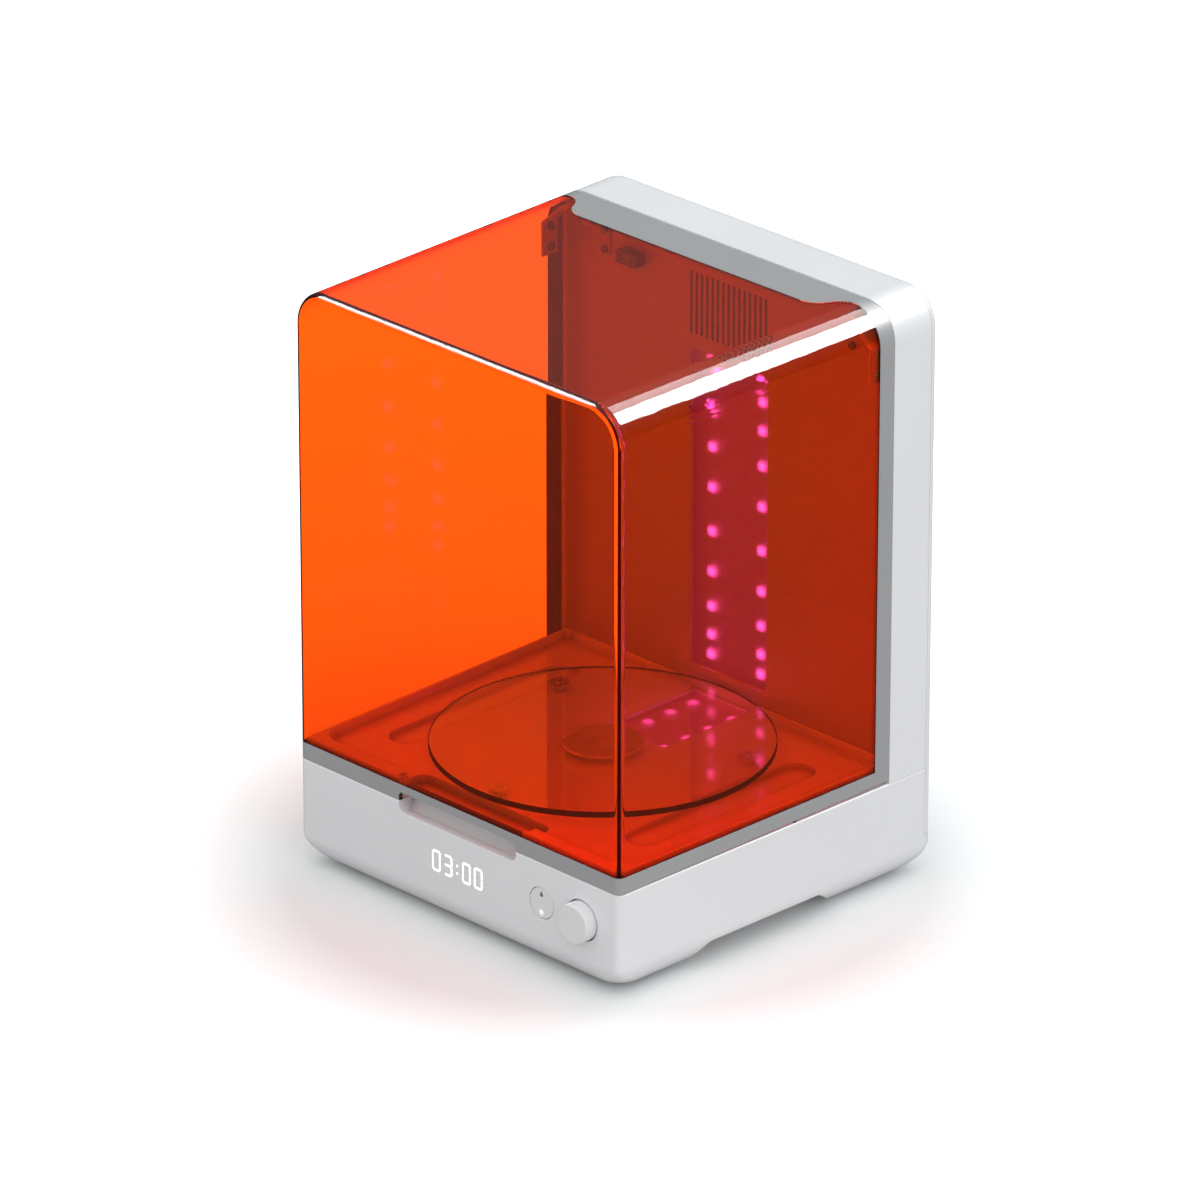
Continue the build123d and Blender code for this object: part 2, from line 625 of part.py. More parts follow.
# ================================================================== rear panel
inlet_x = -96.0
inlet_z = rim_z - 21.5
inlet_size = (27.4, 20.0)
switch_x = -58.0
switch_size = (21.0, 15.0)
flange_margin = 2.2
flange_sink = 1.6
grille_pitch = 5.6
grille_width = 2.6
panel_screw_spots = [(side * x, z) for side in (1, -1)
                     for x, z in ((side_x(arch_back - 12, arch_wall) - 4.5, 120.0),
                                  (side_x(arch_back - 12, arch_wall) - 4.5, 300.0))]
panel_outer = hood(panel_front, back_y, tail_panel_low, panel_inset)
panel_pocket = hood(panel_front - 1, back_y - panel_wall, tail_panel_low + panel_wall, panel_inset + panel_wall)
with BuildPart() as rear_panel:
    add(panel_outer)
    fillet(rear_panel.faces().sort_by(Axis.Y)[-1].edges().filter_by(lambda e: e.center().Z > tail_panel_low + 1),
           rear_round)
    add(panel_pocket, mode=Mode.SUBTRACT)
    # pads that the fans are screwed to
    for name, x, z in fans:
        with BuildSketch(plane_y(fan_back)):
            with Locations((x, z)):
                RectangleRounded(fan_size + 4, fan_size + 4, 4)
                Circle(fan_bore, mode=Mode.SUBTRACT)
        extrude(amount=-(back_y - panel_wall - fan_back))
    # round pillars down to the arch bosses
    with BuildSketch(plane_y(panel_front)):
        with Locations(*panel_screw_spots):
            Circle(5)
    extrude(amount=-(back_y - panel_wall - panel_front))
    # grille slots, cut to a round field behind each fan
    for name, x, z in fans:
        for row in range(-4, 5):
            reach = math.sqrt((fan_bore - 1.0) ** 2 - (row * grille_pitch) ** 2)
            with BuildSketch(plane_y(back_y - panel_wall - 0.5)):
                with Locations((x, z + row * grille_pitch)):
                    SlotOverall(2 * reach, grille_width)
            extrude(amount=-panel_wall - 1, mode=Mode.SUBTRACT)
        with BuildSketch(plane_y(fan_back)):
            with Locations(*[(x + hx, z + hz) for hx, hz in fan_holes]):
                Circle(1.4)
        extrude(amount=-3, mode=Mode.SUBTRACT)
    # counterbores and holes for the panel screws
    with BuildSketch(plane_y(back_y - 2.2)):
        with Locations(*panel_screw_spots):
            Circle(3.2)
    extrude(amount=-3, mode=Mode.SUBTRACT)
    with BuildSketch(plane_y(panel_front)):
        with Locations(*panel_screw_spots):
            Circle(1.5 + fit)
    extrude(amount=-6, mode=Mode.SUBTRACT)
    # sunk seats and cut-outs for the mains inlet and the rocker switch
    for x, size in ((inlet_x, inlet_size), (switch_x, switch_size)):
        with BuildSketch(plane_y(back_y - flange_sink)):
            with Locations((x, inlet_z)):
                RectangleRounded(size[0] + 2 * flange_margin + 0.4, size[1] + 2 * flange_margin + 0.4, 1.5)
        extrude(amount=-flange_sink - 1, mode=Mode.SUBTRACT)
        with BuildSketch(plane_y(panel_front)):
            with Locations((x, inlet_z)):
                Rectangle(size[0] + 0.3, size[1] + 0.3)
        extrude(amount=-10, mode=Mode.SUBTRACT)
save(rear_panel, "rear_panel")

with BuildPart() as rear_panel_screws:
    with BuildSketch(plane_y(back_y - 2.2)):
        with Locations(*panel_screw_spots):
            Circle(2.75)
            RegularPolygon(1.25, 6, mode=Mode.SUBTRACT)
    extrude(amount=-1.7)
    with BuildSketch(plane_y(back_y - 2.2)):
        with Locations(*panel_screw_spots):
            Circle(2.75)
    extrude(amount=-0.6)
    with BuildSketch(plane_y(arch_back - 8)):
        with Locations(*panel_screw_spots):
            Circle(1.2)
    extrude(amount=-(back_y - 2.2 - arch_back + 8))
save(rear_panel_screws, "rear_panel_screws")

# Mains inlet: three flat blades in a chamfered socket.
inlet_depth = 17.0
inlet_body = 26.0
with BuildPart() as power_inlet:
    with BuildSketch(plane_y(back_y - flange_sink)):
        with Locations((inlet_x, inlet_z)):
            RectangleRounded(inlet_size[0] + 2 * flange_margin, inlet_size[1] + 2 * flange_margin, 1.4)
    extrude(amount=-flange_sink + 0.2)
    with BuildSketch(plane_y(back_y - flange_sink - inlet_body)):
        with Locations((inlet_x, inlet_z)):
            Rectangle(inlet_size[0], inlet_size[1])
    extrude(amount=-inlet_body)
    with BuildSketch(plane_y(back_y - inlet_depth)):
        with BuildLine():
            w = 11.6
            h = 7.8
            cut = 4.0
            Polyline((inlet_x - w, inlet_z - h), (inlet_x + w, inlet_z - h), (inlet_x + w, inlet_z + h - cut),
                     (inlet_x + w - cut, inlet_z + h), (inlet_x - w + cut, inlet_z + h),
                     (inlet_x - w, inlet_z + h - cut), close=True)
        make_face()
    extrude(amount=-inlet_depth, mode=Mode.SUBTRACT)
    with BuildSketch(plane_y(back_y - inlet_depth)):
        with Locations((inlet_x - 7, inlet_z - 1.5), (inlet_x, inlet_z + 2.5), (inlet_x + 7, inlet_z - 1.5)):
            Rectangle(2, 4)
    extrude(amount=-inlet_depth + 3)
save(power_inlet, "power_inlet")

# Rocker switch: a sunk frame and a rocker that tips about X.
rocker_half = (8.2, 5.2)
rocker_y = back_y - 5.6
with BuildPart() as power_switch_body:
    with BuildSketch(plane_y(back_y - flange_sink)):
        with Locations((switch_x, inlet_z)):
            RectangleRounded(switch_size[0] + 2 * flange_margin, switch_size[1] + 2 * flange_margin, 1.4)
    extrude(amount=-flange_sink + 0.2)
    with BuildSketch(plane_y(back_y - flange_sink - 18)):
        with Locations((switch_x, inlet_z)):
            Rectangle(switch_size[0], switch_size[1])
    extrude(amount=-18)
    with BuildSketch(plane_y(back_y - 12)):
        with Locations((switch_x, inlet_z)):
            Rectangle(2 * rocker_half[0] + 1.2, 2 * rocker_half[1] + 1.8)
    extrude(amount=-13, mode=Mode.SUBTRACT)
    with BuildSketch(plane_x(switch_x - rocker_half[0] - 0.6)):
        with Locations((rocker_y, inlet_z)):
            Circle(1.0)
    extrude(amount=2 * rocker_half[0] + 1.2)
save(power_switch_body, "power_switch_body")

lean = math.radians(8)       # half of the rocker's swing
rocker_plane = Plane(origin=(switch_x - rocker_half[0], rocker_y, inlet_z),
                     x_dir=(0, math.cos(lean), -math.sin(lean)), z_dir=(1, 0, 0))
with BuildPart() as power_switch_rocker:
    with BuildSketch(rocker_plane):
        with BuildLine():
            Line((-3.4, -2.6), (-3.4, 2.6))
            Line((-3.4, 2.6), (4.6, rocker_half[1]))
            ThreePointArc((4.6, rocker_half[1]), (4.0, 0), (4.6, -rocker_half[1]))
            Line((4.6, -rocker_half[1]), (-3.4, -2.6))
        make_face()
    extrude(amount=2 * rocker_half[0])
    with BuildSketch(plane_x(switch_x - rocker_half[0])):
        with Locations((rocker_y, inlet_z)):
            Circle(1.0 + fit)
    extrude(amount=2 * rocker_half[0], mode=Mode.SUBTRACT)
save(power_switch_rocker, "power_switch_rocker")

# ================================================================== base
grip_depth = 45.0            # hand grips under both sides
grip_rise = 13.0
grip_span = (front_y + 58.5, front_y + 191.5)
grip_top = (grip_span[0] + 18.5, grip_span[1] - 20.0)
rim_thick = 3.0
shelf_z = tail_panel_low - seat
rim_width = 9.0
bar_y = (arch_front - 4.2, wall_back + 3.0)
segment_half = digit_height / 2 - stroke / 2


def segment_bars(value):
    """Centres and turns of the lit bars of one seven-bar digit."""
    lit = {0: "abcdef", 3: "abgcd"}[value]
    reach = (digit_width - stroke) / 2
    places = {"a": (0, segment_half, 0), "g": (0, 0, 0), "d": (0, -segment_half, 0),
              "b": (reach, segment_half / 2, 90), "c": (reach, -segment_half / 2, 90),
              "e": (-reach, -segment_half / 2, 90), "f": (-reach, segment_half / 2, 90)}
    return [places[key] for key in lit]


def display_sketch(plane, grow):
    """Lit bars of the reading 03:00, each grown all round by the same amount."""
    colon_room = 6.0
    starts = [-colon_room / 2 - 1.5 * digit_pitch + 0.1, -colon_room / 2 - 0.5 * digit_pitch + 0.1,
              colon_room / 2 + 0.5 * digit_pitch - 0.1, colon_room / 2 + 1.5 * digit_pitch - 0.1]
    with BuildSketch(plane) as face:
        for start, value in zip(starts, (0, 3, 0, 0)):
            for dx, dz, turn in segment_bars(value):
                length = digit_width - stroke - 0.5 if turn == 0 else segment_half - 0.5
                with Locations(Location((start + dx, display_z + dz, 0), (0, 0, turn))):
                    RectangleRounded(length + 2 * grow, stroke + 2 * grow, stroke * 0.38)
        with Locations((0, display_z + 2.6), (0, display_z - 2.6)):
            Rectangle(stroke + 2 * grow, stroke + 2 * grow)
    return face.sketch


outer_tub = tub(0.0, rim_z)
inner_tub = tub(base_wall, rim_z - rim_thick)
grips = []
for margin in (0.0, base_wall):
    with BuildPart() as grip:
        for side in (1, -1):
            with BuildSketch(plane_x(side * (front_width / 2 + 20))):
                with BuildLine():
                    low = base_z - 5
                    Polyline((grip_span[0] - 6 - margin, low), (grip_top[0] - margin, base_z + grip_rise + margin),
                             (grip_top[1] + margin, base_z + grip_rise + margin), (grip_span[1] + 6 + margin, low),
                             close=True)
                make_face()
            extrude(amount=-side * (grip_depth + 20 + margin))
        ridge = grip.edges().filter_by(Axis.X).group_by(Axis.Z)[-1]
        fillet(ridge, 9)
    grips.append(grip.part)

scoop_block = block(-scoop_half - 3, scoop_half + 3, front_y + 1, front_y + scoop_depth + 3, scoop_low - 3, rim_z)
with BuildPart() as scoop:
    with BuildSketch(plane_x(-scoop_half)):
        with BuildLine():
            Line((front_y - 2, rim_z + 2), (front_y - 2, scoop_low))
            Line((front_y - 2, scoop_low), (front_y + 3, scoop_low))
            ThreePointArc((front_y + 3, scoop_low), (front_y + scoop_depth - 3.2, scoop_low + 2.0),
                          (front_y + scoop_depth, rim_z + 2))
            Line((front_y + scoop_depth, rim_z + 2), (front_y - 2, rim_z + 2))
        make_face()
    extrude(amount=2 * scoop_half)
    with BuildSketch(plane_y(front_y - 3)) as scoop_mouth:
        with Locations((0, (scoop_low + rim_z + 3) / 2)):
            Rectangle(2 * scoop_half, rim_z + 3 - scoop_low)
        fillet(scoop_mouth.vertices().group_by(Axis.Z)[0], scoop_round)
    extrude(amount=-scoop_depth - 6, mode=Mode.INTERSECT)

boss_xs = (-30.0, knob_x + 16.0)     # left of the display, right of the knob
boss_spots = [(x, display_z + z) for x in boss_xs for z in (-14.5, 14.5)]
drive_size = (130.0, 80.0)
drive_mid = front_y + 65.5
base_floor = base_z + base_wall
screw_radius = 1.4
screw_bite = 4.0
drive_posts = [(sx * (drive_size[0] / 2 - 5), drive_mid + sy * (drive_size[1] / 2 - 5))
               for sx in (-1, 1) for sy in (-1, 1)]
supply_size = (140.0, 62.0)
supply_mid = (20.0, arch_back - base_wall - 16.05 - supply_size[1] / 2)
control_y = front_y + 10.5
stand_x = front_width / 2 - 32.0
foot_spots = [(side * stand_x, y) for side in (1, -1) for y in (front_y + 27.0, base_back - 33.0)]
bumper_inset = 2.3           # bumpers stand under the cover wall
bumper_y = cover_back - 79.9
bumper_spots = [(side * (front_width / 2 - 40), front_y + bumper_inset) for side in (1, -1)]
bumper_spots += [(side * side_x(bumper_y, bumper_inset), bumper_y) for side in (1, -1)]
with BuildPart() as base_shell:
    add(outer_tub)
    rim_edges = base_shell.faces().sort_by(Axis.Z)[-1].edges().filter_by(lambda e: e.center().Y < base_back - 1)
    fillet(rim_edges, 1.0)
    add(inner_tub, mode=Mode.SUBTRACT)
    add(grips[1])
    add(outer_tub, mode=Mode.INTERSECT)
    add(grips[0], mode=Mode.SUBTRACT)
    add(scoop_block)
    add(scoop.part, mode=Mode.SUBTRACT)
    # opening under the chamber floor, and the way up into the rear arch
    with BuildSketch(Plane.XY.offset(rim_z - rim_thick - 1)):
        with Locations((0, (front_y + rim_width + scoop_depth - 4 + bar_y[0]) / 2)):
            RectangleRounded(front_width - 2 * rim_width, bar_y[0] - front_y - rim_width - scoop_depth + 4, 6)
        with Locations((0, (bar_y[1] + arch_back - base_wall) / 2)):
            Rectangle(front_width - 2 * rim_width, arch_back - base_wall - bar_y[1])
    extrude(amount=rim_thick + 3, mode=Mode.SUBTRACT)
    # shelf for the rear panel, and the service window behind the inlet
    add(block(-front_width, front_width, arch_back, back_y + 5, shelf_z, rim_z + 5), mode=Mode.SUBTRACT)
    add(block(-front_width, front_width, arch_back - base_wall, arch_back, shelf_z - base_wall, rim_z - rim_thick))
    add(block(-front_width, front_width, arch_back - base_wall, base_back, shelf_z - base_wall, shelf_z))
    add(outer_tub, mode=Mode.INTERSECT)
    add(block(inlet_x - 18, switch_x + 16, arch_back - base_wall - 1, back_y, inlet_z - 14, inlet_z + 14),
        mode=Mode.SUBTRACT)
    # display slots, button and knob bores in the front wall
    extrude(display_sketch(plane_y(front_y - 1), fit), amount=-base_wall - 2, mode=Mode.SUBTRACT)
    with BuildSketch(plane_y(front_y - 1)):
        with Locations((button_x, button_z)):
            Circle(button_radius + 0.4)
        with Locations((knob_x, knob_z)):
            Circle(knob_radius + 0.8)
    extrude(amount=-base_wall - 2, mode=Mode.SUBTRACT)
    # posts for the control board on the front wall
    with BuildSketch(plane_y(front_y + base_wall - 0.5)):
        with Locations(*boss_spots):
            Circle(3)
    extrude(amount=-(control_y - front_y - base_wall + 0.5))
    with BuildSketch(plane_y(control_y - screw_bite)):
        with Locations(*boss_spots):
            Circle(screw_radius)
    extrude(amount=-screw_bite, mode=Mode.SUBTRACT)
    # pockets for feet and cover bumpers, and standoffs for the power board
    with BuildSketch(Plane.XY.offset(base_z)):
        with Locations(*foot_spots):
            Circle(9 + fit)
    extrude(amount=1.0, mode=Mode.SUBTRACT)
    with BuildSketch(Plane.XY.offset(rim_z - 1.5)):
        with Locations(*bumper_spots):
            Circle(1.2 + fit)
    extrude(amount=3, mode=Mode.SUBTRACT)
    with BuildSketch(Plane.XY.offset(base_z + base_wall)):
        with Locations(*drive_posts):
            Circle(3)
    extrude(amount=5)
    with BuildSketch(Plane.XY.offset(base_floor + 5 - screw_bite)):
        with Locations(*drive_posts):
            Circle(screw_radius)
    extrude(amount=screw_bite, mode=Mode.SUBTRACT)
    # air slots in the underside
    with BuildSketch(Plane.XY.offset(base_z)):
        with Locations((0, supply_mid[1] + 10)):
            with GridLocations(9, 1, 12, 1):
                SlotOverall(44, 3, rotation=90)
    extrude(amount=base_wall, mode=Mode.SUBTRACT)
save(base_shell, "base_shell")

with BuildPart() as rubber_feet:
    with BuildSketch(Plane.XY):
        with Locations(*foot_spots):
            Circle(9)
    extrude(amount=foot_height + 1.0)
    chamfer(rubber_feet.edges().group_by(Axis.Z)[0], 0.8)
save(rubber_feet, "rubber_feet")

with BuildPart() as cover_bumpers:
    with BuildSketch(Plane.XY.offset(rim_z - 1.5)):
        with Locations(*bumper_spots):
            Circle(1.2)
    extrude(amount=1.5 + cover_gap - seat)
save(cover_bumpers, "cover_bumpers")

# ================================================================== chamber floor
tray_front = front_y + tray_inset
tray_back = wall_front - seat
notch_half = scoop_half + 2.9
notch_back = front_y + 12.5
recess_half = 57.0           # finger recess behind the notch
recess_back = front_y + 28.5
recess_z = tray_floor - 6.0
lamp_floor = (49.0, table_y + 27.2, table_y + 103.2)     # width, front and back of the floor lamp opening
pocket_x = 102.0             # long finger pockets beside the turntable
pocket_size = (156.5, 24.4)
pocket_depth = 3.5
pocket_mid = table_y - 1.0
hub_disc = 24.0
bearing_radius = 8.5
shaft_radius = 4.0
floor_low = tray_floor - tray_wall
skirt_low = rim_z


def tray_outline(side_inset, y0, y1):
    """Drafted plan outline of the tray, narrower at the front."""
    with BuildSketch(Plane.XY) as plan:
        with BuildLine():
            Polyline((-side_x(y0, side_inset), y0), (side_x(y0, side_inset), y0),
                     (side_x(y1, side_inset), y1), (-side_x(y1, side_inset), y1), close=True)
        make_face()
    return plan.sketch


tray_plan = tray_outline(tray_inset, tray_front, tray_back)
skirt_plan = tray_outline(tray_inset + tray_wall, tray_front + tray_wall, tray_back - tray_wall)
well_plan = tray_outline(tray_foot[0], front_y + tray_foot[1], wall_front - tray_foot[2])
with BuildPart() as chamber_floor:
    with BuildSketch(Plane.XY.offset(skirt_low)):
        add(tray_plan)
    extrude(amount=tray_rim - skirt_low)
    with BuildSketch(Plane.XY.offset(skirt_low)):
        add(skirt_plan)
    extrude(amount=floor_low - skirt_low, mode=Mode.SUBTRACT)
    # the floor, with a rim that slopes up all round
    with BuildSketch(Plane.XY.offset(tray_floor)) as well:
        add(well_plan)
        fillet(well.vertices().group_by(Axis.Y)[0], 12)
        fillet(well.vertices().group_by(Axis.Y)[-1], 1)
    extrude(amount=tray_rim - tray_floor, taper=-tray_slope, mode=Mode.SUBTRACT)
    # finger recess at the front, open to the scoop in the base
    with BuildSketch(Plane.XY.offset(skirt_low)):
        with Locations((0, (tray_front + recess_back + tray_wall) / 2)):
            Rectangle(2 * (recess_half + tray_wall), recess_back + tray_wall - tray_front)
    extrude(amount=tray_floor - skirt_low)
    with BuildSketch(Plane.XY.offset(recess_z)) as recess:
        with Locations((0, (tray_front + tray_wall + recess_back) / 2)):
            Rectangle(2 * recess_half, recess_back - tray_front - tray_wall)
        fillet(recess.vertices().group_by(Axis.Y)[-1], 8)
    extrude(amount=tray_rim - recess_z, mode=Mode.SUBTRACT)
    with BuildSketch(Plane.XY.offset(skirt_low)):
        with Locations((0, (front_y + notch_back) / 2)):
            Rectangle(2 * notch_half, notch_back - front_y)
    extrude(amount=tray_rim - skirt_low, mode=Mode.SUBTRACT)
    # long finger pockets under both edges of the glass
    with BuildSketch(Plane.XY.offset(tray_floor)):
        with Locations((-pocket_x, pocket_mid), (pocket_x, pocket_mid)):
            SlotOverall(pocket_size[0] + 2 * tray_wall, pocket_size[1] + 2 * tray_wall, rotation=90)
    extrude(amount=-pocket_depth - tray_wall)
    with BuildSketch(Plane.XY.offset(tray_floor)):
        with Locations((-pocket_x, pocket_mid), (pocket_x, pocket_mid)):
            SlotOverall(*pocket_size, rotation=90)
    extrude(amount=-pocket_depth, taper=20, mode=Mode.SUBTRACT)
    # lamp opening, spindle bore and the posts that carry the floor lamp board
    with BuildSketch(Plane.XY.offset(tray_floor)):
        with Locations((0, (lamp_floor[1] + lamp_floor[2]) / 2)):
            RectangleRounded(lamp_floor[0], lamp_floor[2] - lamp_floor[1], 3)
        with Locations((0, table_y)):
            Circle(bearing_radius + seat)
    extrude(amount=-tray_wall, mode=Mode.SUBTRACT)
    with BuildSketch(Plane.XY.offset(floor_low)):
        with Locations((0, (lamp_floor[1] + lamp_floor[2]) / 2)):
            with GridLocations(68, 66, 2, 2):
                Circle(2.5)
    extrude(amount=-5)
save(chamber_floor, "chamber_floor")

lamp_floor_mid = (lamp_floor[1] + lamp_floor[2]) / 2
lamp_floor_long = lamp_floor[2] - lamp_floor[1]
with BuildPart() as floor_lamp_window:
    with BuildSketch(Plane.XY.offset(floor_low - window_thick)):
        with Locations((0, lamp_floor_mid)):
            RectangleRounded(lamp_floor[0] + 8, lamp_floor_long + 4.4, 3)
    extrude(amount=window_thick)
save(floor_lamp_window, "floor_lamp_window")

floor_board_z = floor_low - 5 - board_thick
with BuildPart() as floor_lamp_board:
    with BuildSketch(Plane.XY.offset(floor_board_z)):
        with Locations((0, lamp_floor_mid)):
            RectangleRounded(76, lamp_floor_long - 5, 2)
    extrude(amount=board_thick)
    with BuildSketch(Plane.XY.offset(floor_board_z)):
        with Locations((0, lamp_floor_mid)):
            Rectangle(60, lamp_floor_long - 12)
    extrude(amount=-1.6)
save(floor_lamp_board, "floor_lamp_board")

with BuildPart() as floor_lamps:
    with BuildSketch(Plane.XY.offset(floor_board_z + board_thick)):
        with Locations((0, lamp_floor_mid)):
            with GridLocations(34, 20, 2, 4):
                Rectangle(5, 5)
    extrude(amount=0.8)
    with BuildSketch(Plane.XY.offset(floor_board_z + board_thick + 0.8)):
        with Locations((0, lamp_floor_mid)):
            with GridLocations(34, 20, 2, 4):
                Circle(2)
    extrude(amount=0.8, taper=30)
save(floor_lamps, "floor_lamps")

# Three low glide studs keep a badly loaded glass from tipping.
pad_radius = 91.0
pad_turns = (-88, 32, 152)
pad_spots = [(pad_radius * math.cos(math.radians(turn)), table_y + pad_radius * math.sin(math.radians(turn)))
             for turn in pad_turns]
pad_top = glass_low - seat
with BuildPart() as support_pads:
    with BuildSketch(Plane.XY.offset(tray_floor)):
        with Locations(*pad_spots):
            Circle(4.5)
    extrude(amount=pad_top - 1.6 - tray_floor)
    with BuildSketch(Plane.XY.offset(pad_top - 1.8)):
        with Locations(*pad_spots):
            Circle(6.9)
    extrude(amount=1.2)
    with BuildSketch(Plane.XY.offset(pad_top - 0.6)):
        with Locations(*pad_spots):
            Circle(1.9)
    extrude(amount=0.6)
    fillet(support_pads.edges().filter_by(GeomType.CIRCLE).group_by(Axis.Z)[-1], 0.55)
save(support_pads, "support_pads")

# ================================================================== turntable
gear_module = 1.5
gear_teeth = 48
pinion_teeth = 14
pressure = math.radians(25)
gear_z = tray_floor - 18.0
gear_thick = 6.0
backlash = 0.12
centre_distance = gear_module * (gear_teeth + pinion_teeth) / 2 + 0.12


def gear_face(teeth):
    """Outline of a spur gear with involute flanks, one tooth centred on +X."""
    pitch_radius = gear_module * teeth / 2
    base_radius = pitch_radius * math.cos(pressure)
    tip_radius = pitch_radius + gear_module
    root_radius = pitch_radius - 1.2 * gear_module
    half_pitch = math.pi / (2 * teeth) - backlash / (2 * pitch_radius)
    flank_start = half_pitch + math.tan(pressure) - pressure
    points = []
    for tooth in range(teeth):
        middle = math.tau * tooth / teeth
        flank = []
        for step in range(4):
            radius = max(base_radius, root_radius)
            radius += (tip_radius - radius) * step / 3
            opening = math.acos(min(1.0, base_radius / radius))
            flank.append((radius, flank_start - (math.tan(opening) - opening)))
        flank.insert(0, (root_radius - 0.05, flank[0][1] + 0.15 / root_radius))
        for radius, angle in flank:
            points.append((radius * math.cos(middle - angle), radius * math.sin(middle - angle)))
        for radius, angle in reversed(flank):
            points.append((radius * math.cos(middle + angle), radius * math.sin(middle + angle)))
    return points


with BuildPart() as turntable_glass:
    with BuildSketch(Plane.XY.offset(glass_low)):
        with Locations((0, table_y)):
            Circle(glass_radius)
    extrude(amount=glass_thick)
    chamfer(turntable_glass.edges().filter_by(GeomType.CIRCLE), 0.5)
save(turntable_glass, "turntable_glass")

hub_low = glass_low - 2.0
with BuildPart() as turntable_hub:
    with BuildSketch(Plane.XY.offset(hub_low)):
        with Locations((0, table_y)):
            Circle(hub_disc)
    extrude(amount=glass_low - hub_low)
    with BuildSketch(Plane.XY.offset(gear_z - 2.5)):
        with Locations((0, table_y)):
            Circle(shaft_radius)
    extrude(amount=hub_low - gear_z + 2.5)
save(turntable_hub, "turntable_hub")

bearing_top = hub_low - seat
bearing_low = gear_z + gear_thick + 4.0
with BuildPart() as spindle_bearing:
    with BuildSketch(Plane.XY.offset(floor_low - 2.0)):
        with Locations((0, table_y)):
            Circle(16)
    extrude(amount=2.0)
    with BuildSketch(Plane.XY.offset(bearing_low)):
        with Locations((0, table_y)):
            Circle(bearing_radius)
    extrude(amount=bearing_top - bearing_low)
    with BuildSketch(Plane.XY.offset(bearing_low)):
        with Locations((0, table_y)):
            Circle(shaft_radius + fit)
    extrude(amount=bearing_top - bearing_low, mode=Mode.SUBTRACT)
save(spindle_bearing, "spindle_bearing")

with BuildPart() as turntable_gear:
    with BuildSketch(Plane(origin=(0, table_y, gear_z))):
        with BuildLine():
            Polyline(*gear_face(gear_teeth), close=True)
        make_face()
        with PolarLocations(21, 6):
            Circle(7, mode=Mode.SUBTRACT)
        Circle(shaft_radius, mode=Mode.SUBTRACT)
    extrude(amount=gear_thick)
    with BuildSketch(Plane(origin=(0, table_y, gear_z + gear_thick))):
        Circle(9)
        Circle(shaft_radius, mode=Mode.SUBTRACT)
    extrude(amount=4.0 - seat)
save(turntable_gear, "turntable_gear")

motor_y = table_y - centre_distance
motor_radius = 17.5
motor_high = gear_z - 5.0
motor_low = motor_high - 30.0
plate_thick = 2.0
motor_shaft = 2.5
with BuildPart() as turntable_motor:
    with BuildSketch(Plane(origin=(0, motor_y, motor_low))):
        Circle(motor_radius)
    extrude(amount=motor_high - motor_low)
    fillet(turntable_motor.edges().group_by(Axis.Z)[0], 1.5)
    with BuildSketch(Plane(origin=(0, motor_y, motor_high))):
        Circle(5)
    extrude(amount=plate_thick)
    with BuildSketch(Plane(origin=(0, motor_y, motor_high - 8))):
        Circle(motor_shaft + fit)
    extrude(amount=8 + plate_thick, mode=Mode.SUBTRACT)
save(turntable_motor, "turntable_motor")

with BuildPart() as motor_pinion:
    with BuildSketch(Plane(origin=(0, motor_y, motor_high - 7.5))):
        Circle(motor_shaft)
    extrude(amount=gear_z - motor_high + 7.5)
    with BuildSketch(Plane(origin=(0, motor_y, gear_z))):
        with BuildLine():
            Polyline(*gear_face(pinion_teeth), close=True)
        make_face()
    extrude(amount=gear_thick)
save(motor_pinion, "motor_pinion")

leg_reach = 12.0
motor_screw_spots = [(side * 12.5, motor_y) for side in (1, -1)]
with BuildPart() as motor_bracket:
    with BuildSketch(Plane.XY.offset(motor_high)):
        with Locations((0, motor_y - 3)):
            RectangleRounded(64, 46, 4)
        with Locations((0, motor_y)):
            Circle(5 + fit, mode=Mode.SUBTRACT)
        with Locations(*motor_screw_spots):
            Circle(1.5 + fit, mode=Mode.SUBTRACT)
    extrude(amount=plate_thick)
    for side in (1, -1):
        with BuildSketch(Plane.XY.offset(motor_high)):
            with Locations((side * 31, motor_y - 14)):
                Rectangle(2, 22)
        extrude(amount=floor_low - motor_high)
        with BuildSketch(Plane.XY.offset(floor_low - 2)):
            with Locations((side * 36, motor_y - 14)):
                Rectangle(leg_reach, 22)
        extrude(amount=2)
save(motor_bracket, "motor_bracket")

with BuildPart() as motor_screws:
    with BuildSketch(Plane.XY.offset(motor_high + plate_thick)):
        with Locations(*motor_screw_spots):
            Circle(2.75)
    extrude(amount=1.6)
    with BuildSketch(Plane.XY.offset(motor_high)):
        with Locations(*motor_screw_spots):
            Circle(1.5)
    extrude(amount=plate_thick)
save(motor_screws, "motor_screws")

# ================================================================== inside the base
with BuildPart() as power_supply:
    with BuildSketch(Plane.XY.offset(base_floor)):
        with Locations(supply_mid):
            RectangleRounded(*supply_size, 2)
    extrude(amount=32)
    with BuildSketch(Plane.XY.offset(base_floor + 32)):
        with Locations(supply_mid):
            with GridLocations(9, 1, 12, 1):
                SlotOverall(44, 3, rotation=90)
    extrude(amount=-1.2, mode=Mode.SUBTRACT)
save(power_supply, "power_supply")

